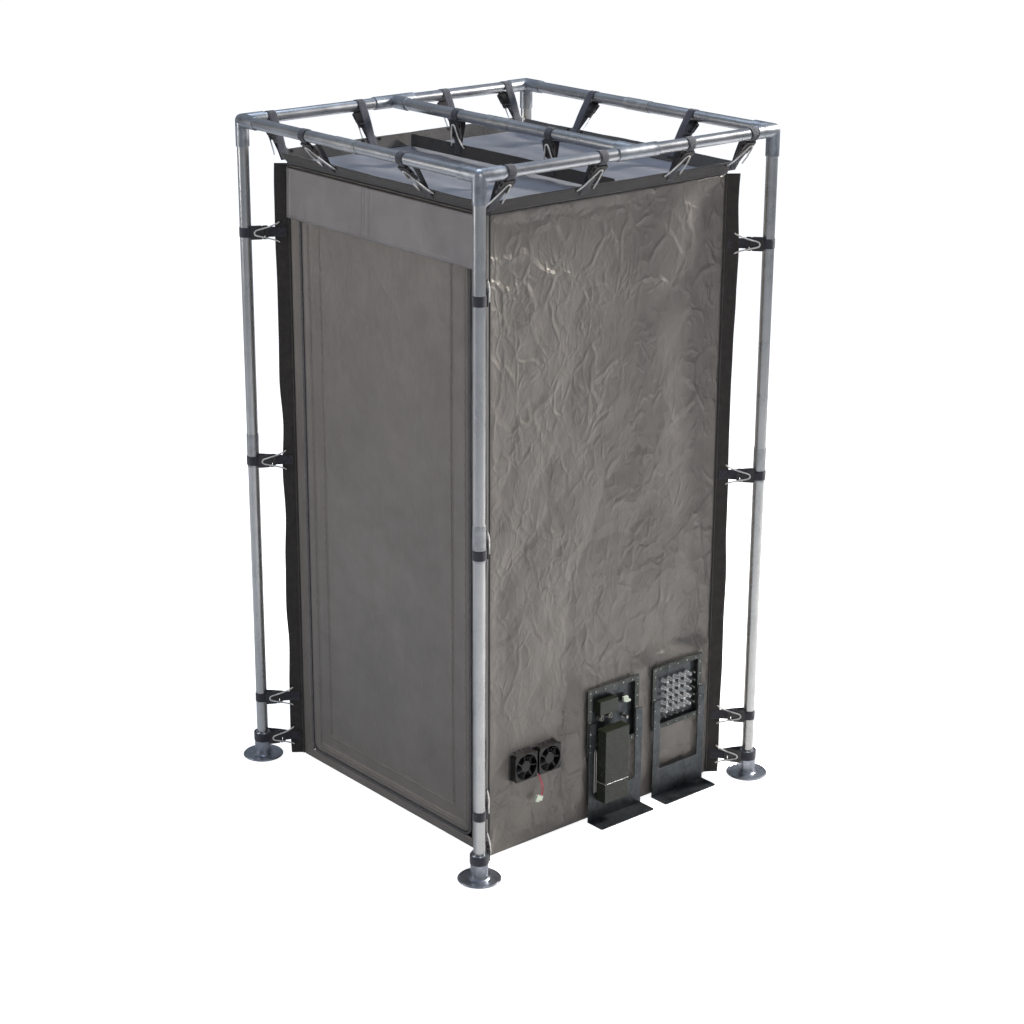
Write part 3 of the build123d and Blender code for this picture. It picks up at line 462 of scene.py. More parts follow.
def crumple(u, v, cell, seed, lean=0.0, stretch=1.0):
    """Height of creased cloth: shallow dished facets that meet in sharp folds, one to a cell."""
    table = lattice(seed, 5)
    a = (u * math.cos(lean) + v * math.sin(lean)) / cell
    b = (v * math.cos(lean) - u * math.sin(lean)) / (cell * stretch)
    i, j = np.floor(a).astype(int), np.floor(b).astype(int)
    best = np.full(np.shape(u), 9.0)
    for di in (-1, 0, 1):
        for dj in (-1, 0, 1):
            t = table[(i + di) % 64, (j + dj) % 64]
            x = a - (i + di + 0.5 + 0.45 * t[..., 0])
            y = b - (j + dj + 0.5 + 0.45 * t[..., 1])
            facet = 0.9 * (x * x + y * y) + 0.3 * (t[..., 2] * x + t[..., 3] * y) + 0.2 * t[..., 4]
            best = np.minimum(best, facet)
    return best * cell


def smooth_step(low, high, value):
    t = np.clip((value - low) / (high - low), 0, 1)
    return t * t * (3 - 2 * t)


def ridge(distance, half_width, height):
    """A rounded welt along a line."""
    return height * np.clip(1 - (distance / half_width) ** 2, 0, 1)


def cloth(name, us, vs, place, thickness, slot, keep=None, body="root", material=None):
    """A sheet of cloth over a grid of lines. place(u, v) gives x, y and z; keep drops openings."""
    grid_u, grid_v = np.meshgrid(us, vs, indexing="ij")
    points = np.stack([np.broadcast_to(c, grid_u.shape) for c in place(grid_u, grid_v)], axis=-1)
    count_u, count_v = grid_u.shape
    index = np.arange(count_u * count_v).reshape(count_u, count_v)
    quads = np.stack([index[:-1, :-1], index[1:, :-1], index[1:, 1:], index[:-1, 1:]], axis=-1)
    if keep is not None:
        mid_u = (grid_u[:-1, :-1] + grid_u[1:, 1:]) / 2
        mid_v = (grid_v[:-1, :-1] + grid_v[1:, 1:]) / 2
        quads = quads[keep(mid_u, mid_v)]
    mesh = bpy.data.meshes.new(name)
    mesh.from_pydata(points.reshape(-1, 3).tolist(), [], quads.reshape(-1, 4).tolist())
    work = bmesh.new()
    work.from_mesh(mesh)
    loose = [v for v in work.verts if not v.link_faces]
    bmesh.ops.delete(work, geom=loose, context="VERTS")
    work.to_mesh(mesh)
    work.free()
    piece = bpy.data.objects.new(name, mesh)
    bpy.context.scene.collection.objects.link(piece)
    mesh.materials.append(material or MATERIALS[slot])
    mesh.shade_smooth()
    thick = piece.modifiers.new("cloth_thickness", "SOLIDIFY")
    thick.thickness = thickness
    thick.offset = -1
    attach(piece, body)
    return piece


def outside(boxes):
    """True where a point is in none of the openings."""
    def keep(u, v):
        clear = np.full(u.shape, True)
        for (low_u, high_u), (low_v, high_v) in boxes:
            clear &= ~((u > low_u) & (u < high_u) & (v > low_v) & (v < high_v))
        return clear
    return keep


def edge_fade(u, v, low_u, high_u, low_v, high_v, margin):
    """Nothing at a panel's edges, one a margin inside them."""
    near = np.minimum(np.minimum(u - low_u, high_u - u), np.minimum(v - low_v, high_v - v))
    return smooth_step(0, margin, near)


# ---------------------------------------------------------------- the fans' lead
LEAD_ROUTE = [
    (526.0, -292.5, 242.4),
    (529.5, -288.0, 222.0),
    (529.0, -280.5, 201.0),
    (526.5, -275.0, 183.0),
    (524.5, -275.5, 170.0),
    (525.0, -280.0, 160.0),
]
WIRE_R = 1.1 * MM
WIRE_SPREAD = 2.6 * MM


def nurbs_path(name, points):
    data = bpy.data.curves.new(name, "CURVE")
    data.dimensions = "3D"
    data.resolution_u = 8
    spline = data.splines.new("NURBS")
    spline.points.add(len(points) - 1)
    for point, where in zip(spline.points, points):
        point.co = (*where, 1)
    spline.order_u = 3
    spline.use_endpoint_u = True
    return data


def path_points(curve_data):
    """Points along a curve that has no bevel."""
    probe = bpy.data.objects.new("probe", curve_data)
    bpy.context.scene.collection.objects.link(probe)
    mesh = bpy.data.meshes.new_from_object(probe)
    points = [v.co.copy() for v in mesh.vertices]
    bpy.data.objects.remove(probe)
    return points


def tube_around(mesh_tools, points, radius, sides=10):
    """Skins a round wire along points, with closed ends."""
    rings = []
    up = Vector((0.2, 1, 0.1))
    for k, point in enumerate(points):
        way = points[min(k + 1, len(points) - 1)] - points[max(k - 1, 0)]
        side = way.cross(up).normalized()
        over = side.cross(way).normalized()
        ring = []
        for step in range(sides):
            angle = 2 * math.pi * step / sides
            spoke = math.cos(angle) * side + math.sin(angle) * over
            ring.append(mesh_tools.verts.new(point + radius * spoke))
        rings.append(ring)
    for first, second in zip(rings, rings[1:]):
        for step in range(sides):
            after = (step + 1) % sides
            mesh_tools.faces.new((first[step], first[after], second[after], second[step]))
    mesh_tools.faces.new(rings[0][::-1])
    mesh_tools.faces.new(rings[-1])


def piece_from(name, tools, slot, body="root", smooth=True, material=None):
    mesh = bpy.data.meshes.new(name)
    bmesh.ops.recalc_face_normals(tools, faces=tools.faces)
    tools.to_mesh(mesh)
    tools.free()
    piece = bpy.data.objects.new(name, mesh)
    bpy.context.scene.collection.objects.link(piece)
    mesh.materials.append(material or MATERIALS[slot])
    if smooth:
        mesh.shade_smooth()
    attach(piece, body)
    return piece


def fan_lead():
    """Two insulated wires, side by side, that spread a little between the fans and the connector."""
    line = path_points(nurbs_path("lead_line", [[c * MM for c in p] for p in LEAD_ROUTE]))
    for name, side in (("left", -1), ("right", 1)):
        strand = []
        for k, point in enumerate(line):
            along = k / (len(line) - 1)
            reach = 1.05 * WIRE_R + WIRE_SPREAD * math.sin(math.pi * along) ** 2
            way = (line[min(k + 1, len(line) - 1)] - line[max(k - 1, 0)]).normalized()
            strand.append(point + side * reach * way.cross(Vector((-1, 0, 0))).normalized())
        tools = bmesh.new()
        tube_around(tools, strand, WIRE_R)
        wire = piece_from(f"fan_lead_{name}_wire", tools, "lead_insulation")
        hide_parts("fan_lead")


fan_lead()

# ---------------------------------------------------------------- tent walls
CLOTH_T = 1.2 * MM
STEP = 7 * MM
COLLAR_ROOM = 6.6 * MM
panel_boxes = []
for node, room in (
    ("fan_housing_left", 0),
    ("fan_housing_right", 0),
    ("power_plate", COLLAR_ROOM),
    ("io_plate", COLLAR_ROOM),
):
    low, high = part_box(node)
    panel_boxes.append(((low[1] - room, high[1] + room), (low[2] - room, high[2] + room)))
frames_low, frames_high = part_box("panel_clamp_frames")
WALL_LOW, WALL_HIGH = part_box("wall_right")
FLANGE_BACK = frames_high[0] - 7.4 * MM


def calm_near_panels(y, z):
    """One on open cloth, nothing where a fan or a panel frame holds the wall flat."""
    calm = np.ones_like(y)
    around = panel_boxes[:2] + [((frames_low[1], frames_high[1]), (0.0, frames_high[2]))]
    for (low_y, high_y), (low_z, high_z) in around:
        gap_y = np.maximum(np.maximum(low_y - y, y - high_y), 0)
        gap_z = np.maximum(np.maximum(low_z - z, z - high_z), 0)
        calm = np.minimum(calm, smooth_step(0.0, 0.07, np.hypot(gap_y, gap_z)))
    return calm


def stood_off(y, z):
    """The panels' flanges hold the cloth a little way out from the tent's own plane."""
    gap_y = np.maximum(np.maximum(frames_low[1] - y, y - frames_high[1]), 0)
    gap_z = np.maximum(z - frames_high[2], 0)
    near = smooth_step(0.07, 0.0, np.hypot(gap_y, gap_z)) * smooth_step(0.0, 0.12, z)
    return (FLANGE_BACK - TENT_X) * near


def right_wall_dent(y, z):
    """How far the service wall is pulled in: creased all over, most below and towards the door."""
    strength = 0.35 + 0.65 * smooth_step(2.05, 1.15, z)
    strength = strength * (0.65 + 0.35 * smooth_step(0.42, -0.1, y))
    big = 0.07 * crumple(y, z, 0.23, 11, -0.42, 1.7)
    fine = 0.10 * crumple(y, z, 0.095, 12, -0.42, 1.6) + 0.08 * crumple(y, z, 0.050, 13, 0.35, 1.5)
    billow = 0.0045 * swell(y, z, 0.42, 14)
    return (strength * (big + fine) + billow) * (0.25 + 0.75 * calm_near_panels(y, z))


def side_wall(name, sign, dent, openings=(), bulge=None):
    ys = spaced(WALL_LOW[1], WALL_HIGH[1], STEP, [e for box in openings for e in box[0]])
    zs = spaced(FLOOR_TOP, WALL_HIGH[2], STEP, [e for box in openings for e in box[1]])

    def place(y, z):
        fade = edge_fade(y, z, ys[0], ys[-1], zs[0], zs[-1], 0.05)
        depth = dent(y, z)
        depth = (depth - depth.min()) * (0.12 + 0.88 * fade)
        if bulge:
            depth = depth - bulge(y, z)
        return sign * (TENT_X - depth), y, z

    lines = ys if sign > 0 else ys[::-1]
    kind = MATERIALS["service_fabric"] if sign > 0 else None
    piece = cloth(name, lines, zs, place, CLOTH_T, "shield_fabric", outside(openings), material=kind)
    return piece


wall = side_wall("right_wall_cloth", 1, right_wall_dent, panel_boxes, stood_off)
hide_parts("wall_right")


def plain_dent(seed):
    def dent(a, z):
        soft = 0.035 * crumple(a, z, 0.26, seed, 0.3, 1.8) + 0.045 * crumple(a, z, 0.11, seed + 1, -0.3, 1.6)
        return soft + 0.045 * crumple(a, z, 0.05, seed + 2, 0.2) + 0.003 * swell(a, z, 0.5, seed + 3)
    return dent


wall = side_wall("left_wall_cloth", -1, plain_dent(21))
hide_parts("wall_left")


def back_wall():
    dent = plain_dent(31)
    xs = spaced(-TENT_X, TENT_X, STEP)
    zs = spaced(FLOOR_TOP, WALL_HIGH[2], STEP)

    def place(x, z):
        fade = edge_fade(x, z, xs[0], xs[-1], zs[0], zs[-1], 0.05)
        depth = dent(x, z)
        return x, TENT_Y - (depth - depth.min()) * (0.12 + 0.88 * fade), z

    piece = cloth("back_wall_cloth", xs[::-1], zs, place, CLOTH_T, "shield_fabric")
    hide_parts("wall_back")


back_wall()


def floor_and_roof():
    xs = spaced(-WALL_X, WALL_X, 2 * STEP)
    ys = spaced(WALL_LOW[1], WALL_HIGH[1], 2 * STEP)

    def floor(x, y):
        return x, y, FLOOR_TOP - 0.0012 - 0.0008 * (1 + swell(x, y, 0.2, 41))

    piece = cloth("floor_cloth", xs, ys, floor, CLOTH_T, "shield_fabric")
    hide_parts("floor_panel")

    xs = spaced(-TENT_X, TENT_X, STEP)
    ys = spaced(-TENT_Y, TENT_Y, STEP)
    ridge_y = CROSS_Y + 2 * MM

    def roof(x, y):
        across = np.where(y < ridge_y, (y + TENT_Y) / (ridge_y + TENT_Y), (y - ridge_y) / (TENT_Y - ridge_y))
        sag = 0.010 * np.sin(math.pi * np.clip(across, 0, 1)) * smooth_step(0, 0.12, TENT_X - abs(x))
        folds = 1 + np.sin(y * 46 + 1.5 * swell(x, y, 0.3, 42))
        waves = 0.0030 * folds * smooth_step(0, 0.08, TENT_X - abs(x))
        creased = 0.05 * (crumple(x, y, 0.09, 43, 0.2, 2.4) + 0.04)
        fade = edge_fade(x, y, -TENT_X, TENT_X, -TENT_Y, TENT_Y, 0.05)
        return x, y, TENT_TOP - sag * fade - (waves + np.maximum(creased, 0)) * fade

    piece = cloth("roof_cloth", xs, ys, roof, CLOTH_T, "shield_fabric", material=MATERIALS["roof_fabric"])
    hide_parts("roof_panel")


floor_and_roof()

# ---------------------------------------------------------------- the door side
FRONT_Y = -TENT_Y
DOOR_CORNER = 30 * MM
SEAMS = [(35 * MM, 14 * MM, 21 * MM), (95 * MM, 85 * MM, 76 * MM)]


def rounded(u, v, low_u, high_u, low_v, radius):
    """Pulls a grid's two lower corners onto arcs."""
    for corner, way in ((low_u, 1), (high_u, -1)):
        a = radius - way * (u - corner)
        b = radius - (v - low_v)
        inside = (a > 0) & (b > 0) & (a <= radius + 1e-9) & (b <= radius + 1e-9)
        shrink = np.where(inside, np.maximum(a, b) / np.maximum(np.hypot(a, b), 1e-9), 1.0)
        u = np.where(inside, corner + way * (radius - a * shrink), u)
        v = np.where(inside, low_v + radius - b * shrink, v)
    return u, v


def door():
    low_x, high_x, low_z, high_z = DOOR_LOW[0], DOOR_HIGH[0], DOOR_LOW[2], DOOR_HIGH[2]
    extra_x, extra_z = [], []
    for left, right, bottom in SEAMS:
        extra_x += seam_lines(low_x + left) + seam_lines(high_x - right)
        extra_z += seam_lines(low_z + bottom)
    xs = spaced(low_x, high_x, STEP, extra_x)
    zs = spaced(low_z, high_z, STEP, extra_z)

    def place(x, z):
        rise = np.zeros_like(x)
        for left, right, bottom in SEAMS:
            beside = np.minimum(x - (low_x + left), (high_x - right) - x)
            away = np.abs(np.minimum(beside, z - (low_z + bottom)))
            pucker = 1 + 0.45 * np.sin((x + z) * 210 + 3 * swell(x, z, 0.08, 50))
            rise += ridge(away - 3.6 * MM, 2.4 * MM, 2.6 * MM) * pucker
            rise += ridge(away, 2.0 * MM, -1.2 * MM)
        soft = 0.004 * swell(x, z, 0.45, 51) + 0.020 * crumple(x, z, 0.12, 52, 0.25, 2.0)
        soft = soft + 0.03 * crumple(x, z, 0.05, 53, -0.2, 1.4)
        fade = edge_fade(x, z, low_x, high_x, low_z, high_z + 0.2, 0.04)
        x2, z2 = rounded(x, z, low_x, high_x, low_z, DOOR_CORNER)
        return x2, FRONT_Y + 1.5 * MM + (soft - soft.min()) * fade - rise, z2

    piece = cloth("door_cloth", xs, zs, place, CLOTH_T, "shield_fabric", body="door")
    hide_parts("door_panel")


door()


def surround():
    """The fixed cloth round the door, with a dimpled welt beside the zip."""
    low_x, high_x, low_z = ZIP_LOW[0], ZIP_HIGH[0], ZIP_LOW[2]
    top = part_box("front_surround")[1][2]
    head = DOOR_HIGH[2] + 6 * MM
    welts = seam_lines(low_x - 8 * MM) + seam_lines(high_x + 9 * MM)
    xs = spaced(-TENT_X, TENT_X, STEP, [low_x, high_x] + welts)
    zs = spaced(FLOOR_TOP, top, STEP, [low_z, head] + seam_lines(low_z - 8 * MM))
    opening = ((low_x, high_x), (low_z, head))

    def place(x, z):
        beside = np.maximum(low_x - x, x - high_x)
        away = np.maximum(beside, low_z - z)
        dimple = 0.5 + 0.5 * np.sin(z * 209 + 0.8 * swell(x, z, 0.1, 61))
        rise = ridge(away - 8 * MM, 3.6 * MM, 3.0 * MM) * (0.25 + 0.75 * dimple)
        soft = 0.03 * crumple(x, z, 0.06, 62, 0.1, 1.8) + 0.0015 * swell(x, z, 0.2, 63)
        fade = edge_fade(x, z, -TENT_X, TENT_X, FLOOR_TOP, top, 0.02)
        return x, FRONT_Y + 1.8 * MM + (soft - soft.min()) * fade - rise, z

    piece = cloth("front_cloth", xs, zs, place, CLOTH_T, "shield_fabric", outside([opening]))
    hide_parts("front_surround")


surround()


def valance():
    """The flap over the door's top: a hem along its foot, and creases where it was folded."""
    low_x, high_x, low_z, high_z = VALANCE_LOW[0], VALANCE_HIGH[0], VALANCE_LOW[2], VALANCE_HIGH[2]
    creases = (-100 * MM, -86 * MM, -60 * MM)
    hem = low_z + 12 * MM
    left_seam = low_x + 17 * MM
    extra_x = seam_lines(left_seam)
    for crease in creases:
        extra_x += seam_lines(crease, 0.008)
    xs = spaced(low_x, high_x, STEP, extra_x)
    zs = spaced(low_z, high_z, STEP, seam_lines(hem))

    def place(x, z):
        down = smooth_step(high_z, low_z, z)
        wave = 1.6 * MM * (1 + np.sin(x * 13 + 0.6)) * down + 1.5 * MM * down
        rise = ridge(z - hem, 2.0 * MM, 0.9 * MM) + ridge(x - left_seam, 3.0 * MM, 1.2 * MM)
        for crease, depth in zip(creases, (1.8, 1.2, 2.0)):
            rise += ridge(x - crease - 0.02 * (z - low_z), 4.0 * MM, depth * MM)
        soft = 0.03 * crumple(x, z, 0.07, 71, 0.1, 2.2)
        return x, VALANCE_HIGH[1] - 1.0 * MM - wave - rise + np.clip(soft, -0.001, 0.001), z

    piece = cloth("valance_cloth", xs, zs, place, 1.0 * MM, "valance_fabric", body="valance")
    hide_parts("door_valance")


valance()

# ---------------------------------------------------------------- flange bands
CORNER_BAND = 44 * MM
ROOF_BAND = 48 * MM
CROSS_BAND = 42 * MM
BAND_T = 3.0 * MM
HEM = 7 * MM
ROOF_WAVER = 0.03


def band(name, origin, along, outwards, length, width, seed, waver=0.10):
    """A doubled strip from the tent's edge outwards, hemmed, with an uneven outer edge."""
    along, outwards = Vector(along).normalized(), Vector(outwards).normalized()
    face = along.cross(outwards).normalized()
    us = spaced(-length / 2, length / 2, STEP)
    vs = spaced(0.0, width, width / 8, seam_lines(width - HEM, 0.003) + seam_lines(HEM, 0.003))

    def place(u, v):
        far = v / width
        reach = v * (1 + waver * swell(u, 0 * u, 0.16, seed) * far)
        wave = far * (2.2 * MM * swell(u, 0 * u + 3.1, 0.13, seed) + 0.8 * MM * swell(u, v, 0.035, seed + 1))
        wave = wave - ridge(v - (width - HEM), 1.2 * MM, 0.6 * MM) - ridge(v - HEM, 1.2 * MM, 0.6 * MM)
        return [origin[k] + u * along[k] + reach * outwards[k] + wave * face[k] for k in range(3)]

    piece = cloth(name, us, vs, place, BAND_T * 0.8, "band_fabric")
    return piece


def all_bands():
    """Four upright bands, four round the roof and one across it."""
    upright = []
    for sx in (-1, 1):
        for sy in (-1, 1):
            outwards = (sx * (POST_X - TENT_X), sy * (POST_Y - TENT_Y), 0)
            origin = (sx * TENT_X, sy * TENT_Y, (FLOOR_TOP + TENT_HIGH[2]) / 2)
            name = f"corner_band_{'left' if sx < 0 else 'right'}_{'front' if sy < 0 else 'back'}"
            upright.append(band(
                name, origin, (0, 0, 1), outwards, TENT_HIGH[2] - FLOOR_TOP, CORNER_BAND, 80 + 2 * sx + sy,
            ))
    rise = RAIL_Z - TENT_TOP
    roof = []
    for sx in (-1, 1):
        outwards = (sx * (POST_X - TENT_X), 0, rise)
        name = f"roof_band_{'left' if sx < 0 else 'right'}"
        origin = (sx * TENT_X, 0, TENT_TOP)
        roof.append(band(name, origin, (0, 1, 0), outwards, 2 * TENT_Y, ROOF_BAND, 90 + sx, ROOF_WAVER))
    for sy in (-1, 1):
        outwards = (0, sy * (POST_Y - TENT_Y), rise)
        name = f"roof_band_{'front' if sy < 0 else 'back'}"
        origin = (0, sy * TENT_Y, TENT_TOP)
        roof.append(band(name, origin, (1, 0, 0), outwards, 2 * TENT_X, ROOF_BAND, 94 + sy, ROOF_WAVER))
    origin = (0, CROSS_Y, TENT_TOP)
    length = 2 * TENT_X - 12 * MM
    roof.append(band("roof_band_cross", origin, (1, 0, 0), (0, 0, 1), length, CROSS_BAND, 98, ROOF_WAVER))
    for piece in upright:
        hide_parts("corner_bands")
    for piece in roof:
        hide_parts("roof_bands")


all_bands()


def edge_piping():
    """Two dark welts under the front flange, where the roof, front and valance are sewn together."""
    tools = bmesh.new()
    for depth, height in ((2.2, -4.0), (2.0, -11.0)):
        points = []
        for step in range(61):
            x = -TENT_X + 2 * TENT_X * step / 60
            sway = 0.5 * MM * math.sin(x * 31 + height)
            points.append(Vector((x, FRONT_Y - depth * MM, TENT_TOP + height * MM + sway)))
        tube_around(tools, points, 1.9 * MM, 8)
    piece_from("front_edge_piping", tools, "band_fabric")


def corner_binding():
    """Dark binding down the four upright edges, where the wall cloths meet."""
    tools = bmesh.new()
    for sx in (-1, 1):
        for sy in (-1, 1):
            points = []
            for step in range(91):
                z = FLOOR_TOP + (TENT_TOP - 2 * MM - FLOOR_TOP) * step / 90
                sway = 0.4 * MM * math.sin(z * 23 + sx + 2 * sy)
                points.append(Vector((sx * TENT_X, sy * (TENT_Y - 1 * MM) + sway, z)))
            tube_around(tools, points, 4.2 * MM, 8)
    piece_from("corner_binding", tools, "band_fabric")


edge_piping()
corner_binding()

# ---------------------------------------------------------------- straps and shock cord
WEB_W = 32 * MM
WEB_T = 1.7 * MM
BUCKLE_T = 11 * MM
BUCKLE_GAP = 0.5 * MM
BUCKLE_LENGTH = 58.6 * MM
SEAT = 0.2 * MM
SEWN = 34 * MM
CORD_R = 2.5 * MM
EYELET_STEP = 34 * MM
HUB_R = 28.5 * MM
COUPLER_R = 20.6 * MM
FITTING_R = 22.2 * MM
POST_STRAPS = (72 * MM, 222 * MM, 1093 * MM, 1876 * MM)
POST_STRAP_R = (HUB_R, TUBE_R, COUPLER_R, TUBE_R)
FRONT_STRAPS = (-248 * MM, 248 * MM)
BACK_STRAPS = (-242 * MM, 242 * MM)
CROSS_STRAPS = (-250 * MM, 215 * MM)
SIDE_STRAPS = (-494 * MM, -135 * MM, 228 * MM, 504 * MM)
SHOW = Vector((0.72, -0.61, 0.33))


class Strap:
    """Where one strap hangs: u runs from tube to tent, n out of the buckle's face, w along the tube."""

    def __init__(self, origin, pull, along, face, radius, band_width):
        self.origin, self.u, self.radius = Vector(origin), Vector(pull).normalized(), radius
        self.w = Vector(along)
        self.n = self.w.cross(self.u)
        if self.n.dot(Vector(face)) < 0:
            self.w, self.n = -self.w, -self.n
        self.edge = Vector(pull).length - band_width
        self.ply_r = radius + 0.3 * MM + WEB_T / 2
        near = BAND_T / 2 + SEAT + WEB_T / 2
        self.angle = math.atan2(near, self.edge) + math.acos(self.ply_r / math.hypot(self.edge, near))
        reach = math.sqrt((radius + BUCKLE_GAP) ** 2 - (self.ply_r - BUCKLE_T / 2) ** 2)
        self.start = reach + 0.3 * MM

    def at(self, u, n, w=0.0):
        return self.origin + u * self.u + n * self.n + w * self.w

    def down_ply(self, along, lift=0.0):
        """A point (u, n) on the buckle's ply, measured from where it leaves the tube."""
        c, s = math.cos(self.angle), math.sin(self.angle)
        return (self.ply_r + lift) * c + along * s, (self.ply_r + lift) * s - along * c


def all_straps():
    straps = []
    for sx in (-1, 1):
        for sy in (-1, 1):
            pull = (sx * (TENT_X - POST_X), sy * (TENT_Y - POST_Y), 0)
            for height, radius in zip(POST_STRAPS, POST_STRAP_R):
                origin = (sx * POST_X, sy * POST_Y, height)
                straps.append(Strap(origin, pull, (0, 0, 1), SHOW, radius, CORNER_BAND))
    drop = TENT_TOP - RAIL_Z
    for sx in (-1, 1):
        for y in SIDE_STRAPS:
            radius = FITTING_R if abs(y) > POST_Y - 83 * MM - WEB_W / 2 else TUBE_R
            pull = (sx * (TENT_X - POST_X), 0, drop)
            straps.append(Strap((sx * POST_X, y, RAIL_Z), pull, (0, 1, 0), (sx, 0, -1), radius, ROOF_BAND))
    for sy, row in ((-1, FRONT_STRAPS), (1, BACK_STRAPS)):
        for x in row:
            pull = (0, sy * (TENT_Y - POST_Y), drop)
            straps.append(Strap((x, sy * POST_Y, RAIL_Z), pull, (1, 0, 0), (0, sy, -1), TUBE_R, ROOF_BAND))
    for x in CROSS_STRAPS:
        straps.append(Strap((x, CROSS_Y, RAIL_Z), (0, 0, drop), (1, 0, 0), (0, -1, 0), TUBE_R, CROSS_BAND))
    return straps


def ribbon(tools, strap, path, width, thickness):
    """Webbing along a path of (u, n) points: a flat section with soft edges and a slight crown."""
    half = thickness / 2
    section = [(-0.5, 0.0), (-0.47, 0.8), (-0.25, 1.0), (0.0, 1.06), (0.25, 1.0), (0.47, 0.8), (0.5, 0.0)]
    section += [(x, -y) for x, y in section[-2:0:-1]]
    rings = []
    for k, (u, n) in enumerate(path):
        before, after = path[max(k - 1, 0)], path[min(k + 1, len(path) - 1)]
        du, dn = after[0] - before[0], after[1] - before[1]
        size = math.hypot(du, dn)
        side = (-dn / size, du / size)
        ring = [
            tools.verts.new(strap.at(u + side[0] * y * half, n + side[1] * y * half, x * width))
            for x, y in section
        ]
        rings.append(ring)
    count = len(section)
    for first, second in zip(rings, rings[1:]):
        for step in range(count):
            after = (step + 1) % count
            tools.faces.new((first[step], first[after], second[after], second[step]))
    tools.faces.new(rings[0][::-1])
    tools.faces.new(rings[-1])


def eased(points, count=7):
    """Points along straight legs, so that the webbing can bow."""
    made = []
    for first, second in zip(points, points[1:]):
        for step in range(count):
            t = step / count
            made.append((first[0] + (second[0] - first[0]) * t, first[1] + (second[1] - first[1]) * t))
    made.append(points[-1])
    return made


def loop_path(strap):
    """From the buckle up to the tube, round it, and down the plain side onto the band."""
    near = BAND_T / 2 + SEAT + WEB_T / 2
    path = eased([strap.down_ply(strap.start + 3 * MM), strap.down_ply(0)], 3)
    sweep_angle = 2 * math.pi - 2 * strap.angle
    for step in range(1, 24):
        angle = strap.angle + sweep_angle * step / 24
        path.append((strap.ply_r * math.cos(angle), strap.ply_r * math.sin(angle)))
    off = (strap.ply_r * math.cos(strap.angle), -strap.ply_r * math.sin(strap.angle))
    plain = eased([off, (strap.edge, -near)], 10)
    for k, (u, n) in enumerate(plain):
        path.append((u, n - 2.6 * MM * math.sin(math.pi * k / (len(plain) - 1))))
    path += eased([(strap.edge + 3 * MM, -near), (strap.edge + SEWN, -near)], 4)
    return path


def tail_path(strap):
    near = BAND_T / 2 + SEAT + WEB_T / 2
    clip_end = strap.down_ply(strap.start + BUCKLE_LENGTH - 10 * MM)
    path = eased([clip_end, (strap.edge, near)], 6)
    return path + eased([(strap.edge + 3 * MM, near), (strap.edge + SEWN, near)], 4)


def stitches(tools, strap):
    """A boxed cross of thread where the tail is sewn to the band."""
    top = BAND_T / 2 + SEAT + WEB_T + 0.25 * MM
    u0, u1, w0 = strap.edge + 8 * MM, strap.edge + SEWN - 3 * MM, WEB_W / 2 - 3 * MM
    corners = [(u0, -w0), (u1, -w0), (u1, w0), (u0, w0)]
    runs = list(zip(corners, corners[1:] + corners[:1]))
    runs += [(corners[0], corners[2]), (corners[1], corners[3])]
    for (ua, wa), (ub, wb) in runs:
        for step in range(8):
            t0, t1 = (step + 0.12) / 8, (step + 0.88) / 8
            ends = [strap.at(ua + (ub - ua) * t, top, wa + (wb - wa) * t) for t in (t0, (t0 + t1) / 2, t1)]
            tube_around(tools, ends, 0.4 * MM, 5)


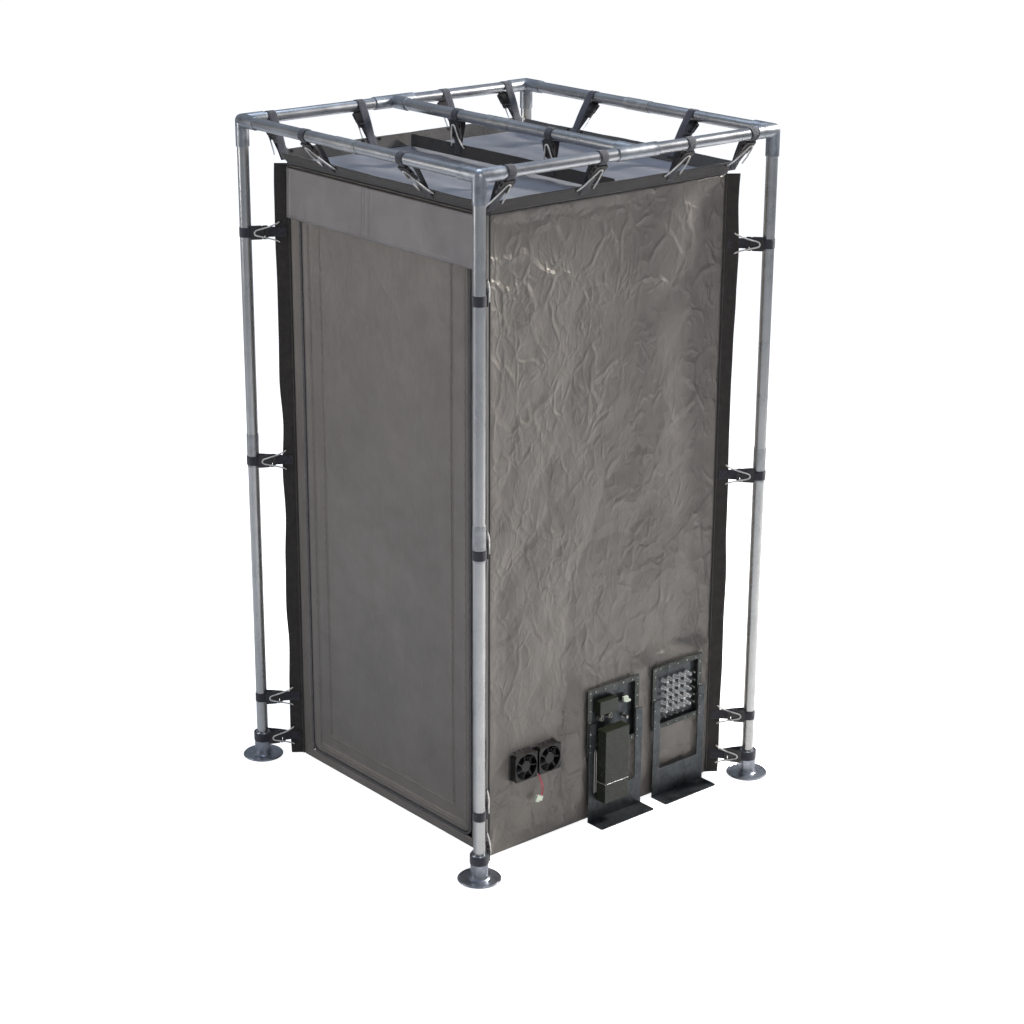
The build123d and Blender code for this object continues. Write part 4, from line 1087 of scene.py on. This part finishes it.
def webbing_and_cords():
    straps = all_straps()
    loops, tails, threads, cords = bmesh.new(), bmesh.new(), bmesh.new(), bmesh.new()
    low = BAND_T / 2 + CORD_R + 1.0 * MM
    high = BUCKLE_T / 2 + CORD_R + 0.4 * MM
    for strap in straps:
        ribbon(loops, strap, loop_path(strap), WEB_W, WEB_T)
        ribbon(tails, strap, tail_path(strap), WEB_W, WEB_T)
        stitches(threads, strap)
        eyelet = strap.edge + 9 * MM
        route = [
            strap.at(eyelet + 1 * MM, low - 3 * MM, EYELET_STEP),
            strap.at(eyelet, low, EYELET_STEP - 4 * MM),
        ]
        for along, across in ((58, 18.5), (36, 13), (16, 8), (12, 0), (16, -8), (36, -13), (58, -18.5)):
            u, n = strap.down_ply(strap.start + along * MM, high)
            route.append(strap.at(u, n, across * MM))
        route += [
            strap.at(eyelet, low, 4 * MM - EYELET_STEP),
            strap.at(eyelet + 1 * MM, low - 3 * MM, -EYELET_STEP),
        ]
        line = path_points(nurbs_path("cord_line", [tuple(p) for p in route]))
        tube_around(cords, line, CORD_R, 10)
    piece = piece_from("strap_loop_webbing", loops, "webbing")
    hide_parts("strap_loops")
    piece = piece_from("strap_tail_webbing", tails, "webbing")
    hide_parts("strap_tails")
    piece_from("strap_stitching", threads, "webbing", material=MATERIALS["thread"])
    piece = piece_from("elastic_cords", cords, "shock_cord")
    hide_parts("shock_cords")


webbing_and_cords()

# ---------------------------------------------------------------- the filter box's folded edge, with a painted highlight
def filter_seam_highlight():
    """A thin proud strip where the terminal cover meets the filter's case: the sheet's folded edge, made
    bright to paint the highlight along it.
    """
    low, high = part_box("filter_box")
    tools = bmesh.new()
    proud, height = 0.5 * MM, low[2] - 0.3 * MM
    corners = [
        (low[0], low[1] - proud), (high[0] + proud, low[1] - proud), (high[0] + proud, high[1] + proud),
        (low[0], high[1] + proud),
    ]
    route = []
    for (xa, ya), (xb, yb) in zip(corners, corners[1:]):
        for step in range(12):
            t = step / 12
            sway = 0.12 * MM * math.sin(9 * t + 40 * xa)
            route.append(Vector((xa + (xb - xa) * t, ya + (yb - ya) * t, height + sway)))
    route.append(Vector((*corners[-1], height)))
    tube_around(tools, route, 0.8 * MM, 6)
    # bright metal on the strip: a painted highlight along the seam
    piece_from("filter_seam_highlight", tools, "filter_paint", material=MATERIALS["bright_nickel"])


filter_seam_highlight()

# ---------------------------------------------------------------- floor
ground_tools = bmesh.new()
bmesh.ops.create_grid(ground_tools, x_segments=8, y_segments=8, size=30)
ground_mesh = bpy.data.meshes.new("ground")
ground_tools.to_mesh(ground_mesh)
ground_tools.free()
ground = bpy.data.objects.new("ground", ground_mesh)
ground.location.z = -0.0005
bpy.context.scene.collection.objects.link(ground)
ground_mesh.materials.append(plain_floor())
